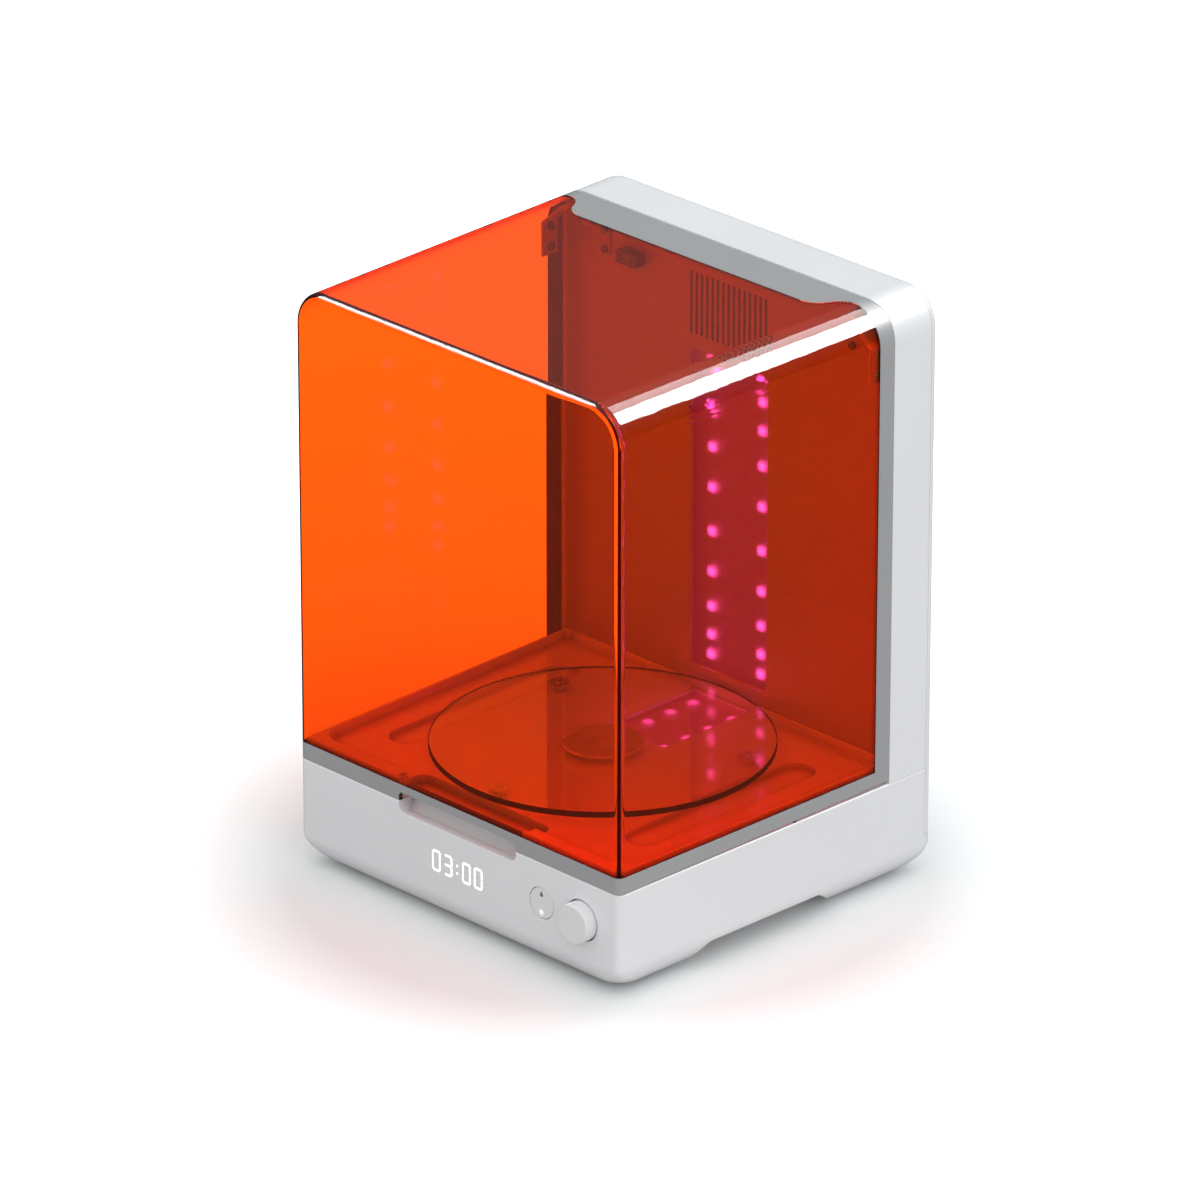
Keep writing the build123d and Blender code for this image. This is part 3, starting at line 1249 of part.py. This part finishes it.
with BuildPart() as drive_board:
    with BuildSketch(Plane.XY.offset(base_floor + 5)):
        with Locations((0, drive_mid)):
            RectangleRounded(*drive_size, 3)
        with Locations(*drive_posts):
            Circle(screw_radius + fit, mode=Mode.SUBTRACT)
    extrude(amount=board_thick)
    with BuildSketch(Plane.XY.offset(base_floor + 5 + board_thick)):
        with Locations((-42, drive_mid - 23), (-42, drive_mid - 5), (-42, drive_mid + 13)):
            Rectangle(12, 9)
        with Locations((40, drive_mid - 19)):
            Rectangle(22, 22)
        with Locations((38, drive_mid + 15), (54, drive_mid + 15)):
            Circle(5)
    extrude(amount=7)
save(drive_board, "drive_board")

# ================================================================== controls
with BuildPart() as control_board:
    with BuildSketch(plane_y(control_y)):
        with Locations(((boss_spots[0][0] + boss_spots[2][0]) / 2, display_z)):
            RectangleRounded(boss_spots[2][0] - boss_spots[0][0] + 9, 37.6, 2)
        with Locations(*boss_spots):
            Circle(screw_radius + fit, mode=Mode.SUBTRACT)
    extrude(amount=-board_thick)
save(control_board, "control_board")

# Pan-head screws hold both boards to the posts of the base.
with BuildPart() as board_screws:
    with BuildSketch(plane_y(control_y + board_thick)):
        with Locations(*boss_spots):
            Circle(2.6)
    extrude(amount=-1.5)
    with BuildSketch(plane_y(control_y - screw_bite)):
        with Locations(*boss_spots):
            Circle(screw_radius)
    extrude(amount=-board_thick - screw_bite)
    with BuildSketch(Plane.XY.offset(base_floor + 5 + board_thick)):
        with Locations(*drive_posts):
            Circle(2.6)
    extrude(amount=1.5)
    with BuildSketch(Plane.XY.offset(base_floor + 5 - screw_bite)):
        with Locations(*drive_posts):
            Circle(screw_radius)
    extrude(amount=board_thick + screw_bite)
save(board_screws, "board_screws")

wall_inside = front_y + base_wall
with BuildPart() as display_module:
    with BuildSketch(plane_y(wall_inside)):
        with Locations((0, display_z)):
            RectangleRounded(50, 19, 1)
    extrude(amount=-(control_y - wall_inside))
save(display_module, "display_module")

with BuildPart() as display_digits:
    extrude(display_sketch(plane_y(front_y), 0.0), amount=-base_wall)
save(display_digits, "display_digits")

press = 0.6
switch_gap = 0.2
with BuildPart() as mode_button:
    with BuildSketch(plane_y(front_y)):
        with Locations((button_x, button_z)):
            Circle(button_radius)
    extrude(amount=-2.8)
    fillet(mode_button.edges().group_by(Axis.Y)[0], 0.4)
    with BuildSketch(plane_y(wall_inside + seat)):
        with Locations((button_x, button_z)):
            Circle(button_radius + 1.4)
            for turn in (0, 90):
                Rectangle(2 * button_radius + 8, 3, rotation=turn, mode=Mode.SUBTRACT)
    extrude(amount=-1.0)
    with BuildSketch(plane_y(front_y + 2.8)):
        with Locations((button_x, button_z)):
            Circle(button_radius - 1)
    extrude(amount=-(wall_inside + seat + 1.0 - front_y - 2.8))
    with BuildSketch(plane_y(front_y + 2.8)):
        with Locations((button_x, button_z)):
            Circle(2.5)
    extrude(amount=-(control_y - 4.0 - press - switch_gap - front_y - 2.8))


def symbol_sketch(plane):
    """A drop above a small sun."""
    with BuildSketch(plane) as face:
        with Locations((button_x, button_z + 5.4)):
            Circle(1.25)
        with BuildLine():
            lean = math.radians(30)
            x1 = 1.25 * math.cos(lean)
            z1 = 1.25 * math.sin(lean)
            Polyline((button_x - x1, button_z + 5.4 + z1), (button_x, button_z + 5.4 + 2.6),
                     (button_x + x1, button_z + 5.4 + z1), close=True)
        make_face()
        with Locations((button_x, button_z - 6.0)):
            Circle(1.0)
            with PolarLocations(1.8, 8):
                Rectangle(0.8, 0.45)
    return face.sketch


symbol_depth = 0.4
symbols_cut = symbol_sketch(plane_y(front_y))
with BuildPart() as button_symbols:
    extrude(symbols_cut, amount=-symbol_depth)
with mode_button:
    add(button_symbols.part, mode=Mode.SUBTRACT)
save(mode_button, "mode_button")
save(button_symbols, "button_symbols")

with BuildPart() as button_switch:
    with BuildSketch(plane_y(control_y - 3.0)):
        with Locations((button_x, button_z)):
            RectangleRounded(7, 7, 0.5)
    extrude(amount=-3.0)
    with BuildSketch(plane_y(control_y - 4.0)):
        with Locations((button_x, button_z)):
            Circle(1.8)
    extrude(amount=-1.0)
save(button_switch, "button_switch")

# Rotary knob: its shaft slides through a keyed rotor inside the encoder.
knob_press = 0.8
collar_front = front_y + base_wall + 0.5
encoder_front = control_y - 5.5
knob_shaft = 3.0
flat_reach = 2.2             # shaft axis to its flat
key_front = encoder_front + 0.6
rotor_front = encoder_front + 1.8
rotor_thick = 1.8
rotor_radius = 5.4
shaft_front = knob_y + 5.0
shaft_back = control_y - 0.4 - knob_press - seat
knob_back = front_y + base_wall + 1.0


def flatted(radius, reach, z_plane):
    """Round section with one flat."""
    with BuildSketch(z_plane) as face:
        with Locations((knob_x, knob_z)):
            Circle(radius)
            with Locations((0, reach + radius)):
                Rectangle(4 * radius, 2 * radius, mode=Mode.SUBTRACT)
    return face.sketch


with BuildPart() as encoder_body:
    with BuildSketch(plane_y(encoder_front)):
        with Locations((knob_x, knob_z)):
            RectangleRounded(14, 14, 0.8)
    extrude(amount=-(control_y - encoder_front))
    with BuildSketch(plane_y(collar_front)):
        with Locations((knob_x, knob_z)):
            Circle(4.5)
    extrude(amount=-(encoder_front - collar_front))
    with BuildSketch(plane_y(collar_front)):
        with Locations((knob_x, knob_z)):
            Circle(knob_shaft + fit)
    extrude(amount=-(control_y - 0.4 - collar_front), mode=Mode.SUBTRACT)
    with BuildSketch(plane_y(rotor_front - 0.1)):
        with Locations((knob_x, knob_z)):
            Circle(rotor_radius + 0.1)
    extrude(amount=-rotor_thick - 0.2, mode=Mode.SUBTRACT)
save(encoder_body, "encoder_body")

with BuildPart() as encoder_rotor:
    with BuildSketch(plane_y(rotor_front)):
        with Locations((knob_x, knob_z)):
            Circle(rotor_radius)
    extrude(amount=-rotor_thick)
    extrude(flatted(knob_shaft + fit, flat_reach + fit, plane_y(rotor_front)), amount=-rotor_thick,
            mode=Mode.SUBTRACT)
save(encoder_rotor, "encoder_rotor")

with BuildPart() as encoder_shaft:
    extrude(flatted(knob_shaft, flat_reach, plane_y(shaft_front)), amount=-(collar_front - 1.5 - shaft_front))
    with BuildSketch(plane_y(collar_front - 1.5)):
        with Locations((knob_x, knob_z)):
            Circle(knob_shaft)
    extrude(amount=-(key_front - collar_front + 1.5))
    extrude(flatted(knob_shaft, flat_reach, plane_y(key_front)), amount=-(shaft_back - key_front))
save(encoder_shaft, "encoder_shaft")

with BuildPart() as control_knob:
    with BuildSketch(plane_y(knob_y)):
        with Locations((knob_x, knob_z)):
            Circle(knob_radius)
    extrude(amount=-(knob_back - knob_y))
    fillet(control_knob.edges().group_by(Axis.Y)[0], 0.8)
    with BuildSketch(plane_y(collar_front - 3.5)):
        with Locations((knob_x, knob_z)):
            Circle(knob_radius - 2.4)
            Circle(5.5, mode=Mode.SUBTRACT)
    extrude(amount=-(knob_back - collar_front + 3.5), mode=Mode.SUBTRACT)
    with BuildSketch(plane_y(collar_front - 1.5)):
        with Locations((knob_x, knob_z)):
            Circle(5.6)
    extrude(amount=-(knob_back - collar_front + 1.5), mode=Mode.SUBTRACT)
    extrude(flatted(knob_shaft, flat_reach, plane_y(shaft_front)), amount=-(collar_front - 1.5 - shaft_front),
            mode=Mode.SUBTRACT)
save(control_knob, "control_knob")
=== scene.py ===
import math
import bpy
from mathutils import Matrix, Vector


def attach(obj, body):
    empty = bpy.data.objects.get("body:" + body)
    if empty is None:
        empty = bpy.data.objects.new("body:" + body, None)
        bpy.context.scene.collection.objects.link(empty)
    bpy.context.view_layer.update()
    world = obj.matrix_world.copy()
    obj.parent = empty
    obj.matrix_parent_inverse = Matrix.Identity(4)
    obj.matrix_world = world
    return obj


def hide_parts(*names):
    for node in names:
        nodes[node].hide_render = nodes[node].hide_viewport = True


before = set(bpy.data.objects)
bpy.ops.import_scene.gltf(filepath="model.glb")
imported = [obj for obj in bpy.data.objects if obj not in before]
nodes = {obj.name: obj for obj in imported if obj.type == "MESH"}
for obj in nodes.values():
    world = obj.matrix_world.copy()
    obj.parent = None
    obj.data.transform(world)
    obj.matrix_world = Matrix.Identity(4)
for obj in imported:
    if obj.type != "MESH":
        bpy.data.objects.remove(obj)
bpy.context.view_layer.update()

WHITE = (1.0, 1.0, 1.0)
BLACK = (0.0, 0.0, 0.0)


# ------------------------------------------------------------------ node helpers
def rgba(colour):
    return (*colour, 1.0)


def grey(value):
    return (value, value, value)


class Graph:
    """The node tree of a material or world, with short calls for the nodes used here.
    A given value may be a number, which is set on the socket, or another node's output, which is linked to it."""

    def __init__(self, owner, output):
        owner.use_nodes = True
        self.owner = owner
        self.tree = owner.node_tree
        self.tree.nodes.clear()
        self.out = self.node(output)

    def node(self, kind, **values):
        """A shader node with its settings, and its inputs by name, spaces as underscores."""
        made = self.tree.nodes.new("ShaderNode" + kind)
        for key, value in values.items():
            if hasattr(made, key):
                setattr(made, key, value)
            else:
                made.inputs[key.replace("_", " ")].default_value = value
        return made

    def link(self, source, target):
        self.tree.links.new(source, target)

    def feed(self, made, given):
        """Sets or links a node's first inputs in turn, and returns its first output."""
        for target, value in zip(made.inputs, given):
            if isinstance(value, (int, float)):
                target.default_value = value
            else:
                self.link(value, target)
        return made.outputs[0]

    def math(self, operation, *given, clamp=False):
        return self.feed(self.node("Math", operation=operation, use_clamp=clamp), given)

    def mix(self, share, first, second):
        """The first shader where share is 0, the second where it is 1."""
        return self.feed(self.node("MixShader"), (share, first, second))

    def add(self, first, second):
        return self.feed(self.node("AddShader"), (first, second))

    def surface(self, shader):
        self.link(shader, self.out.inputs["Surface"])

    def noise(self, scale, detail=2.0, roughness=0.5):
        """Noise over object coordinates, in cycles per metre."""
        place = self.node("TexCoord")
        made = self.node("TexNoise", Scale=scale, Detail=detail, Roughness=roughness)
        self.link(place.outputs["Object"], made.inputs["Vector"])
        return made.outputs["Fac"]

    def ramp(self, source, stops, stepped=False):
        """Colours over a value, from (position, colour) stops."""
        made = self.node("ValToRGB")
        ramp = made.color_ramp
        if stepped:
            ramp.interpolation = "CONSTANT"
        for element, (position, colour) in zip(ramp.elements, (stops[0], stops[-1])):
            element.position, element.color = position, rgba(colour)
        for position, colour in stops[1:-1]:
            ramp.elements.new(position).color = rgba(colour)
        self.link(source, made.inputs["Fac"])
        return made.outputs["Color"]

    def bump(self, source, strength, distance, soft_edge=0.0):
        """Relief from a height; soft_edge rounds sharp edges for the light, in metres."""
        made = self.node("Bump", Strength=strength, Distance=distance)
        self.link(source, made.inputs["Height"])
        if soft_edge:
            rounded = self.node("Bevel", samples=6, Radius=soft_edge)
            self.link(rounded.outputs["Normal"], made.inputs["Normal"])
        return made.outputs["Normal"]

    def painted_hollow_shade(self, paint, reach, depth):
        """Painted shade: a colour darkened by ambient occlusion in the piece's own recesses, which are up to reach
        metres wide.
        """
        occlusion = self.node("AmbientOcclusion", samples=8, only_local=True, Distance=reach)
        shade = self.node("VectorMath", operation="SCALE")
        self.link(paint, shade.inputs[0])
        self.link(self.math("POWER", occlusion.outputs["AO"], depth), shade.inputs["Scale"])
        return shade.outputs[0]

    def straight_view(self, path):
        """1 for a ray from the camera, also through the cover or glass, with no bounce off a surface."""
        through = self.math("SUBTRACT", path.outputs["Is Transmission Ray"], path.outputs["Diffuse Depth"], clamp=True)
        return self.math("MAXIMUM", path.outputs["Is Camera Ray"], through)


def material_graph(name):
    return Graph(bpy.data.materials.new(name), "OutputMaterial")


# ------------------------------------------------------------------ kinds of material
def plastic_graph(name, colour, rough=0.4, grain=2200.0, relief=0.00002, edge=0.0, crease=0.0, depth=1.0):
    """Moulded plastic: faint colour drift, fine spark-erosion grain and a rough, slightly uneven shine.
    edge rounds sharp edges for the light; the next two numbers give painted shade in the piece's recesses by ambient
    occlusion: their width in metres and how strongly they darken.
    Returns the graph and its shader, for more nodes."""
    vary = 0.02
    g = material_graph(name)
    shader = g.node("BsdfPrincipled", IOR=1.5)
    low = [c * (1 - vary) for c in colour]
    high = [c * (1 + vary) for c in colour]
    paint = g.ramp(g.noise(9.0, 3.0), [(0.3, low), (0.7, high)])
    # painted shade: ambient occlusion darkens the base colour in the piece's recesses
    if crease:
        paint = g.painted_hollow_shade(paint, crease, depth)
    g.link(paint, shader.inputs["Base Color"])
    fine = g.noise(grain, 2.0, 0.6)
    g.link(g.ramp(fine, [(0.3, grey(rough * 0.85)), (0.7, grey(rough * 1.15))]), shader.inputs["Roughness"])
    g.link(g.bump(fine, 0.35, relief, edge), shader.inputs["Normal"])
    g.surface(shader.outputs[0])
    return g, shader


def plastic(name, colour, **finish):
    return plastic_graph(name, colour, **finish)[0].owner


def metal(name, colour, rough=0.3, brush=(900.0, 60.0, 60.0)):
    """Rolled or turned metal with a fine directional grain."""
    g = material_graph(name)
    shader = g.node("BsdfPrincipled", Metallic=1.0)
    place = g.node("TexCoord")
    stretch = g.node("Mapping", Scale=brush)
    g.link(place.outputs["Object"], stretch.inputs["Vector"])
    grain = g.node("TexNoise", Scale=1.0, Detail=3.0)
    g.link(stretch.outputs["Vector"], grain.inputs["Vector"])
    height = grain.outputs["Fac"]
    g.link(g.ramp(height, [(0.25, [c * 0.9 for c in colour]), (0.75, colour)]), shader.inputs["Base Color"])
    g.link(g.ramp(height, [(0.2, grey(rough * 0.8)), (0.8, grey(rough * 1.25))]), shader.inputs["Roughness"])
    g.link(g.bump(height, 0.3, 0.00001), shader.inputs["Normal"])
    g.surface(shader.outputs[0])
    return g.owner


def glow(name, colour, strength):
    """A lit surface, a little uneven."""
    g = material_graph(name)
    shader = g.node("BsdfPrincipled", Roughness=0.35, Base_Color=rgba(colour), Emission_Strength=strength)
    g.link(g.ramp(g.noise(900.0, 1.0), [(0.2, [c * 0.94 for c in colour]), (0.8, colour)]),
           shader.inputs["Emission Color"])
    g.surface(shader.outputs[0])
    return g.owner


def tinted(name, absorb, density, ior=1.49, rough=0.0, gloss=None, reflect=1.0, lit=None, painted_dark_rim=False):
    """Clear moulded plastic or glass, coloured through its thickness; light passes it straight.
    gloss is the mirror's own roughness, lit is a faint glow, as of a lamp window in use, and the last
    switch paints the upright faces near-black: painted shade, for the dark look that the rim of a glass disc has."""
    g = material_graph(name)
    clear = g.node("BsdfRefraction", IOR=ior, Roughness=rough, Color=rgba(WHITE))
    shine = g.node("BsdfGlossy", Roughness=rough if gloss is None else gloss, Color=rgba(grey(reflect)))
    g.link(g.bump(g.noise(18.0, 1.0), 0.03, 0.0004), shine.inputs["Normal"])
    body = g.mix(g.node("Fresnel", IOR=ior).outputs[0], clear.outputs[0], shine.outputs[0])
    if lit:
        body = g.add(body, g.node("Emission", Strength=1.0, Color=rgba(lit)).outputs[0])
    # painted shade: the upright faces become a near-black diffuse sheet
    if painted_dark_rim:
        facing = g.node("SeparateXYZ")
        g.link(g.node("NewGeometry").outputs["True Normal"], facing.inputs[0])
        upright = g.math("LESS_THAN", g.math("ABSOLUTE", facing.outputs["Z"]), 0.8)
        body = g.mix(upright, body, g.node("BsdfDiffuse", Color=rgba(grey(0.012))).outputs[0])
    shadow_ray = g.node("LightPath").outputs["Is Shadow Ray"]
    g.surface(g.mix(shadow_ray, body, g.node("BsdfTransparent").outputs[0]))
    inside = g.node("VolumeAbsorption", Density=density, Color=rgba(absorb))
    g.link(inside.outputs[0], g.out.inputs["Volume"])
    return g.owner


def painted_inward_shade_plastic(name, colour, centre, dark, **finish):
    """Plastic whose faces that look towards centre are painted dark: painted shade for the inner faces, which lie in
    shade behind the cover.
    """
    g, shader = plastic_graph(name, colour, **finish)
    away = g.node("VectorMath", operation="SUBTRACT")
    away.inputs[1].default_value = centre
    g.link(g.node("TexCoord").outputs["Object"], away.inputs[0])
    facing = g.node("VectorMath", operation="DOT_PRODUCT")
    g.link(away.outputs[0], facing.inputs[0])
    g.link(g.node("NewGeometry").outputs["True Normal"], facing.inputs[1])
    # painted shade: the faces that look towards centre get the dark colour
    paint = g.node("Mix", data_type="RGBA")
    paint.inputs["A"].default_value = rgba(grey(dark))
    g.link(g.math("GREATER_THAN", facing.outputs["Value"], 0.0), paint.inputs["Factor"])
    g.link(shader.inputs["Base Color"].links[0].from_socket, paint.inputs["B"])
    g.link(paint.outputs["Result"], shader.inputs["Base Color"])
    return g.owner


def two_symbol_inks(name):
    """The button's symbols: the lower one white and lit, the upper one dark."""
    g, shader = plastic_graph(name, (0.16, 0.17, 0.19), rough=0.5)
    height = g.node("SeparateXYZ")
    g.link(g.node("TexCoord").outputs["Generated"], height.inputs[0])
    for target, low, high in (("Base Color", grey(0.95), (0.13, 0.14, 0.15)), ("Emission Color", WHITE, BLACK)):
        g.link(g.ramp(height.outputs["Z"], [(0.0, low), (0.5, high)], stepped=True), shader.inputs[target])
    shader.inputs["Emission Strength"].default_value = 0.7
    return g.owner


def dress(material, *names):
    """Gives CAD nodes one material."""
    for name in names:
        mesh = nodes[name].data
        mesh.materials.clear()
        mesh.materials.append(material)


# ------------------------------------------------------------------ materials
chamber_middle = (0.0, 0.0, 0.22)
amber_colour = (1.0, 0.66, 0.0)

# Painted shade: the white shell of the base and rear housing darkens in its recesses and gaps by ambient occlusion.
dress(plastic("white_shell", (0.79, 0.81, 0.83), rough=0.42, edge=0.0007, crease=0.008, depth=0.6),
      "base_shell", "rear_arch", "rear_panel")
dress(plastic("control_white", (0.77, 0.79, 0.805), rough=0.36, edge=0.0005), "control_knob", "mode_button")
dress(painted_inward_shade_plastic("border_grey", (0.355, 0.365, 0.375), chamber_middle, 0.02, rough=0.38, edge=0.0004),
      "cover_frame", "cover_grip_lip")
# Painted shade: the chamber floor darkens in its recesses by ambient occlusion.
dress(plastic("chamber_white", (0.86, 0.85, 0.83), rough=0.14, grain=1500.0, edge=0.0012, crease=0.012, depth=1.6),
      "chamber_floor")
# The chamber's white back wall is coloured mid-grey as painted shade, for the little light it gets through the cover.
# It also darkens in its slots and recess by ambient occlusion, which is painted shade too.
dress(plastic("chamber_wall_painted_shade", (0.46, 0.44, 0.43), rough=0.3, grain=1500.0, crease=0.006, depth=1.5),
      "chamber_back_wall")
dress(tinted("tinted_amber", amber_colour, 1100.0, gloss=0.06), "cover_window")
dress(tinted("clear_glass", (0.90, 0.94, 0.92), 120.0, ior=1.5, painted_dark_rim=True), "turntable_glass")
dress(tinted("lamp_window", (0.80, 0.82, 0.90), 60.0, rough=0.5, reflect=0.6, lit=(0.09, 0.0, 0.26)),
      "back_lamp_window", "floor_lamp_window")
dress(metal("steel", (0.62, 0.62, 0.63), rough=0.28), "hinge_pins", "motor_bracket", "encoder_shaft", "support_pads")
dress(plastic("painted_steel", grey(0.52), rough=0.5, grain=900.0),
      "hinge_bracket_left", "hinge_bracket_right", "hinge_mount_left", "hinge_mount_right")
dress(metal("screw_steel", (0.45, 0.45, 0.47), rough=0.35, brush=(300.0, 300.0, 300.0)),
      "motor_screws", "board_screws", "fan_screws", "rear_panel_screws")
dress(plastic("black_screw", (0.03, 0.03, 0.032), rough=0.35, grain=900.0),
      "hinge_bracket_screws", "hinge_mount_screws")
dress(metal("alloy", (0.86, 0.87, 0.88), rough=0.42), "heat_sink", "turntable_hub")
dress(plastic("bearing_plastic", (0.78, 0.76, 0.70), rough=0.45), "spindle_bearing", "turntable_gear", "motor_pinion")
dress(plastic("motor_steel", (0.16, 0.16, 0.17), rough=0.35, grain=500.0), "turntable_motor", "power_supply")
dress(plastic("circuit_board", (0.03, 0.20, 0.09), rough=0.3, grain=700.0),
      "drive_board", "control_board", "back_lamp_board", "floor_lamp_board")
black_plastic = plastic("black_plastic", (0.022, 0.022, 0.024), rough=0.45, grain=1500.0)
dress(black_plastic, "lid_sensor", "lower_fan_frame", "upper_fan_frame", "lower_fan_rotor", "upper_fan_rotor",
      "power_inlet", "power_switch_body", "power_switch_rocker", "button_switch", "encoder_body", "encoder_rotor",
      "display_module")
dress(plastic("rubber", grey(0.03), rough=0.75, grain=1200.0, relief=0.00006), "rubber_feet", "cover_bumpers")
dress(glow("display_light", (0.95, 0.97, 1.0), 1.0), "display_digits")
dress(two_symbol_inks("symbol_dark"), "button_symbols")
dress(glow("lamp_chips", (0.08, 0.015, 1.0), 60.0), "back_lamps", "floor_lamps")


# ------------------------------------------------------------------ made pieces
def mesh_object(name, verts, faces, material):
    mesh = bpy.data.meshes.new(name)
    mesh.from_pydata(verts, [], faces)
    mesh.update()
    mesh.materials.append(material)
    made = bpy.data.objects.new(name, mesh)
    bpy.context.scene.collection.objects.link(made)
    return made


def bar_x(name, x_ends, y_ends, z_ends, radius, material, steps=5):
    """Bar along X with rounded long edges, in metres."""
    (x0, x1), (y0, y1), (z0, z1) = x_ends, y_ends, z_ends
    ring = []
    corners = ((y1 - radius, z1 - radius, 0), (y0 + radius, z1 - radius, 90),
               (y0 + radius, z0 + radius, 180), (y1 - radius, z0 + radius, 270))
    for cy, cz, start in corners:
        for k in range(steps + 1):
            turn = math.radians(start + 90 * k / steps)
            ring.append((cy + radius * math.cos(turn), cz + radius * math.sin(turn)))
    count = len(ring)
    verts = [(x0, y, z) for y, z in ring] + [(x1, y, z) for y, z in ring]
    faces = [(k, k + count, (k + 1) % count + count, (k + 1) % count) for k in range(count)]
    faces.append(tuple(range(count)))
    faces.append(tuple(range(2 * count - 1, count - 1, -1)))
    return mesh_object(name, verts, faces, material)


# The ledge above the finger scoop reaches back to the tray, so that no red light falls into the scoop.
grip_lip = bar_x("grip_lip", (-0.0507, 0.0507), (-0.1275, -0.1185), (0.0777, 0.0802), 0.0006, black_plastic)
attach(grip_lip, "cover")
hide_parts("cover_grip_lip")


# ------------------------------------------------------------------ stage
def floor_material():
    """Pale near the part, where it shows the shadow, and white farther out. Mirror rays see it dark."""
    g = material_graph("stage_floor")
    distance = g.node("VectorMath", operation="LENGTH")
    g.link(g.node("TexCoord").outputs["Object"], distance.inputs[0])
    rise = g.ramp(distance.outputs["Value"], [(0.20, BLACK), (0.29, grey(0.32)), (0.40, grey(0.66)), (0.85, WHITE)])
    # The cool tint of the lift and of the pale floor colour is painted against the pink light that passes the amber
    # cover onto the floor.
    lift = g.node("Emission", Color=(0.92, 1.0, 1.0, 1.0))
    g.link(g.math("MULTIPLY", rise, 1.2), lift.inputs["Strength"])
    pale, bounce, dark = (g.node("BsdfDiffuse", Color=rgba(colour)).outputs[0]
                          for colour in ((0.868, 0.886, 0.889), grey(0.6), grey(0.08)))
    path = g.node("LightPath")
    lit = g.mix(g.straight_view(path), bounce, g.add(pale, lift.outputs[0]))
    mirror_only = g.math("SUBTRACT", path.outputs["Is Glossy Ray"], path.outputs["Is Transmission Ray"], clamp=True)
    g.surface(g.mix(mirror_only, lit, dark))
    return g.owner


floor = mesh_object("stage_floor", [(-9, -9, 0), (9, -9, 0), (9, 9, 0), (-9, 9, 0)], [(0, 1, 2, 3)], floor_material())

# The sky lights the part from above and from its right, is white to the camera, and in mirrors rises from dark.
world = bpy.data.worlds.new("studio")
bpy.context.scene.world = world
sky = Graph(world, "OutputWorld")
fill, white, mirror = (sky.node("Background", Color=rgba(WHITE), Strength=strength) for strength in (1.0, 1.05, 1.0))
heading = sky.node("SeparateXYZ")
sky.link(sky.node("TexCoord").outputs["Generated"], heading.inputs[0])
side_light = sky.math("MULTIPLY_ADD", heading.outputs["X"], 0.42, 0.80)
sky.link(sky.math("MULTIPLY_ADD", heading.outputs["Z"], 0.33, side_light), fill.inputs["Strength"])
sky.link(sky.ramp(heading.outputs["Z"], [(0.02, grey(0.03)), (0.45, grey(0.20)), (0.80, grey(0.75))]),
         mirror.inputs["Color"])
light_path = sky.node("LightPath")
around = sky.mix(light_path.outputs["Is Glossy Ray"], fill.outputs[0], mirror.outputs[0])
sky.surface(sky.mix(sky.straight_view(light_path), around, white.outputs[0]))


def gleam(name, direction, width, power):
    """A square softbox 3 m away that only shows as a highlight on glossy edges."""
    aim = Vector((0, 0, 0.3))
    place = Vector(direction).normalized() * 3.0 + aim
    lamp = bpy.data.lights.new(name, "AREA")
    lamp.shape = "RECTANGLE"
    lamp.size = lamp.size_y = width
    lamp.energy = power
    made = bpy.data.objects.new(name, lamp)
    bpy.context.scene.collection.objects.link(made)
    made.location = place
    made.rotation_euler = (aim - place).to_track_quat("-Z", "Y").to_euler()
    made.visible_camera = False
    made.visible_diffuse = False
    made.visible_transmission = False


gleam("gleam_right_edge", (0.41, 0.64, 0.65), 1.3, 190.0)
gleam("gleam_right_fade", (0.10, 0.72, 0.69), 1.7, 60.0)
gleam("gleam_front_edge", (-0.65, -0.41, 0.64), 1.3, 110.0)

# ------------------------------------------------------------------ camera, as solved from the photograph
camera = bpy.data.cameras.new("camera")
camera.lens = 299.4
camera.sensor_width = 36.0
camera.shift_x = -0.1 / 1200
camera.shift_y = -1.6 / 1200
camera.clip_end = 60.0
eye = bpy.data.objects.new("camera", camera)
bpy.context.scene.collection.objects.link(eye)
right = Vector((0.704792, 0.709414, 0.000548))
up = Vector((-0.291712, 0.289106, 0.911769))
back = Vector((0.646663, -0.642767, 0.410704))
turn = Matrix((right, up, back)).transposed().to_4x4()
eye.matrix_world = Matrix.Translation((3.95699, -3.94066, 2.69802)) @ turn
bpy.context.scene.camera = eye
bpy.context.scene.view_settings.view_transform = "Standard"
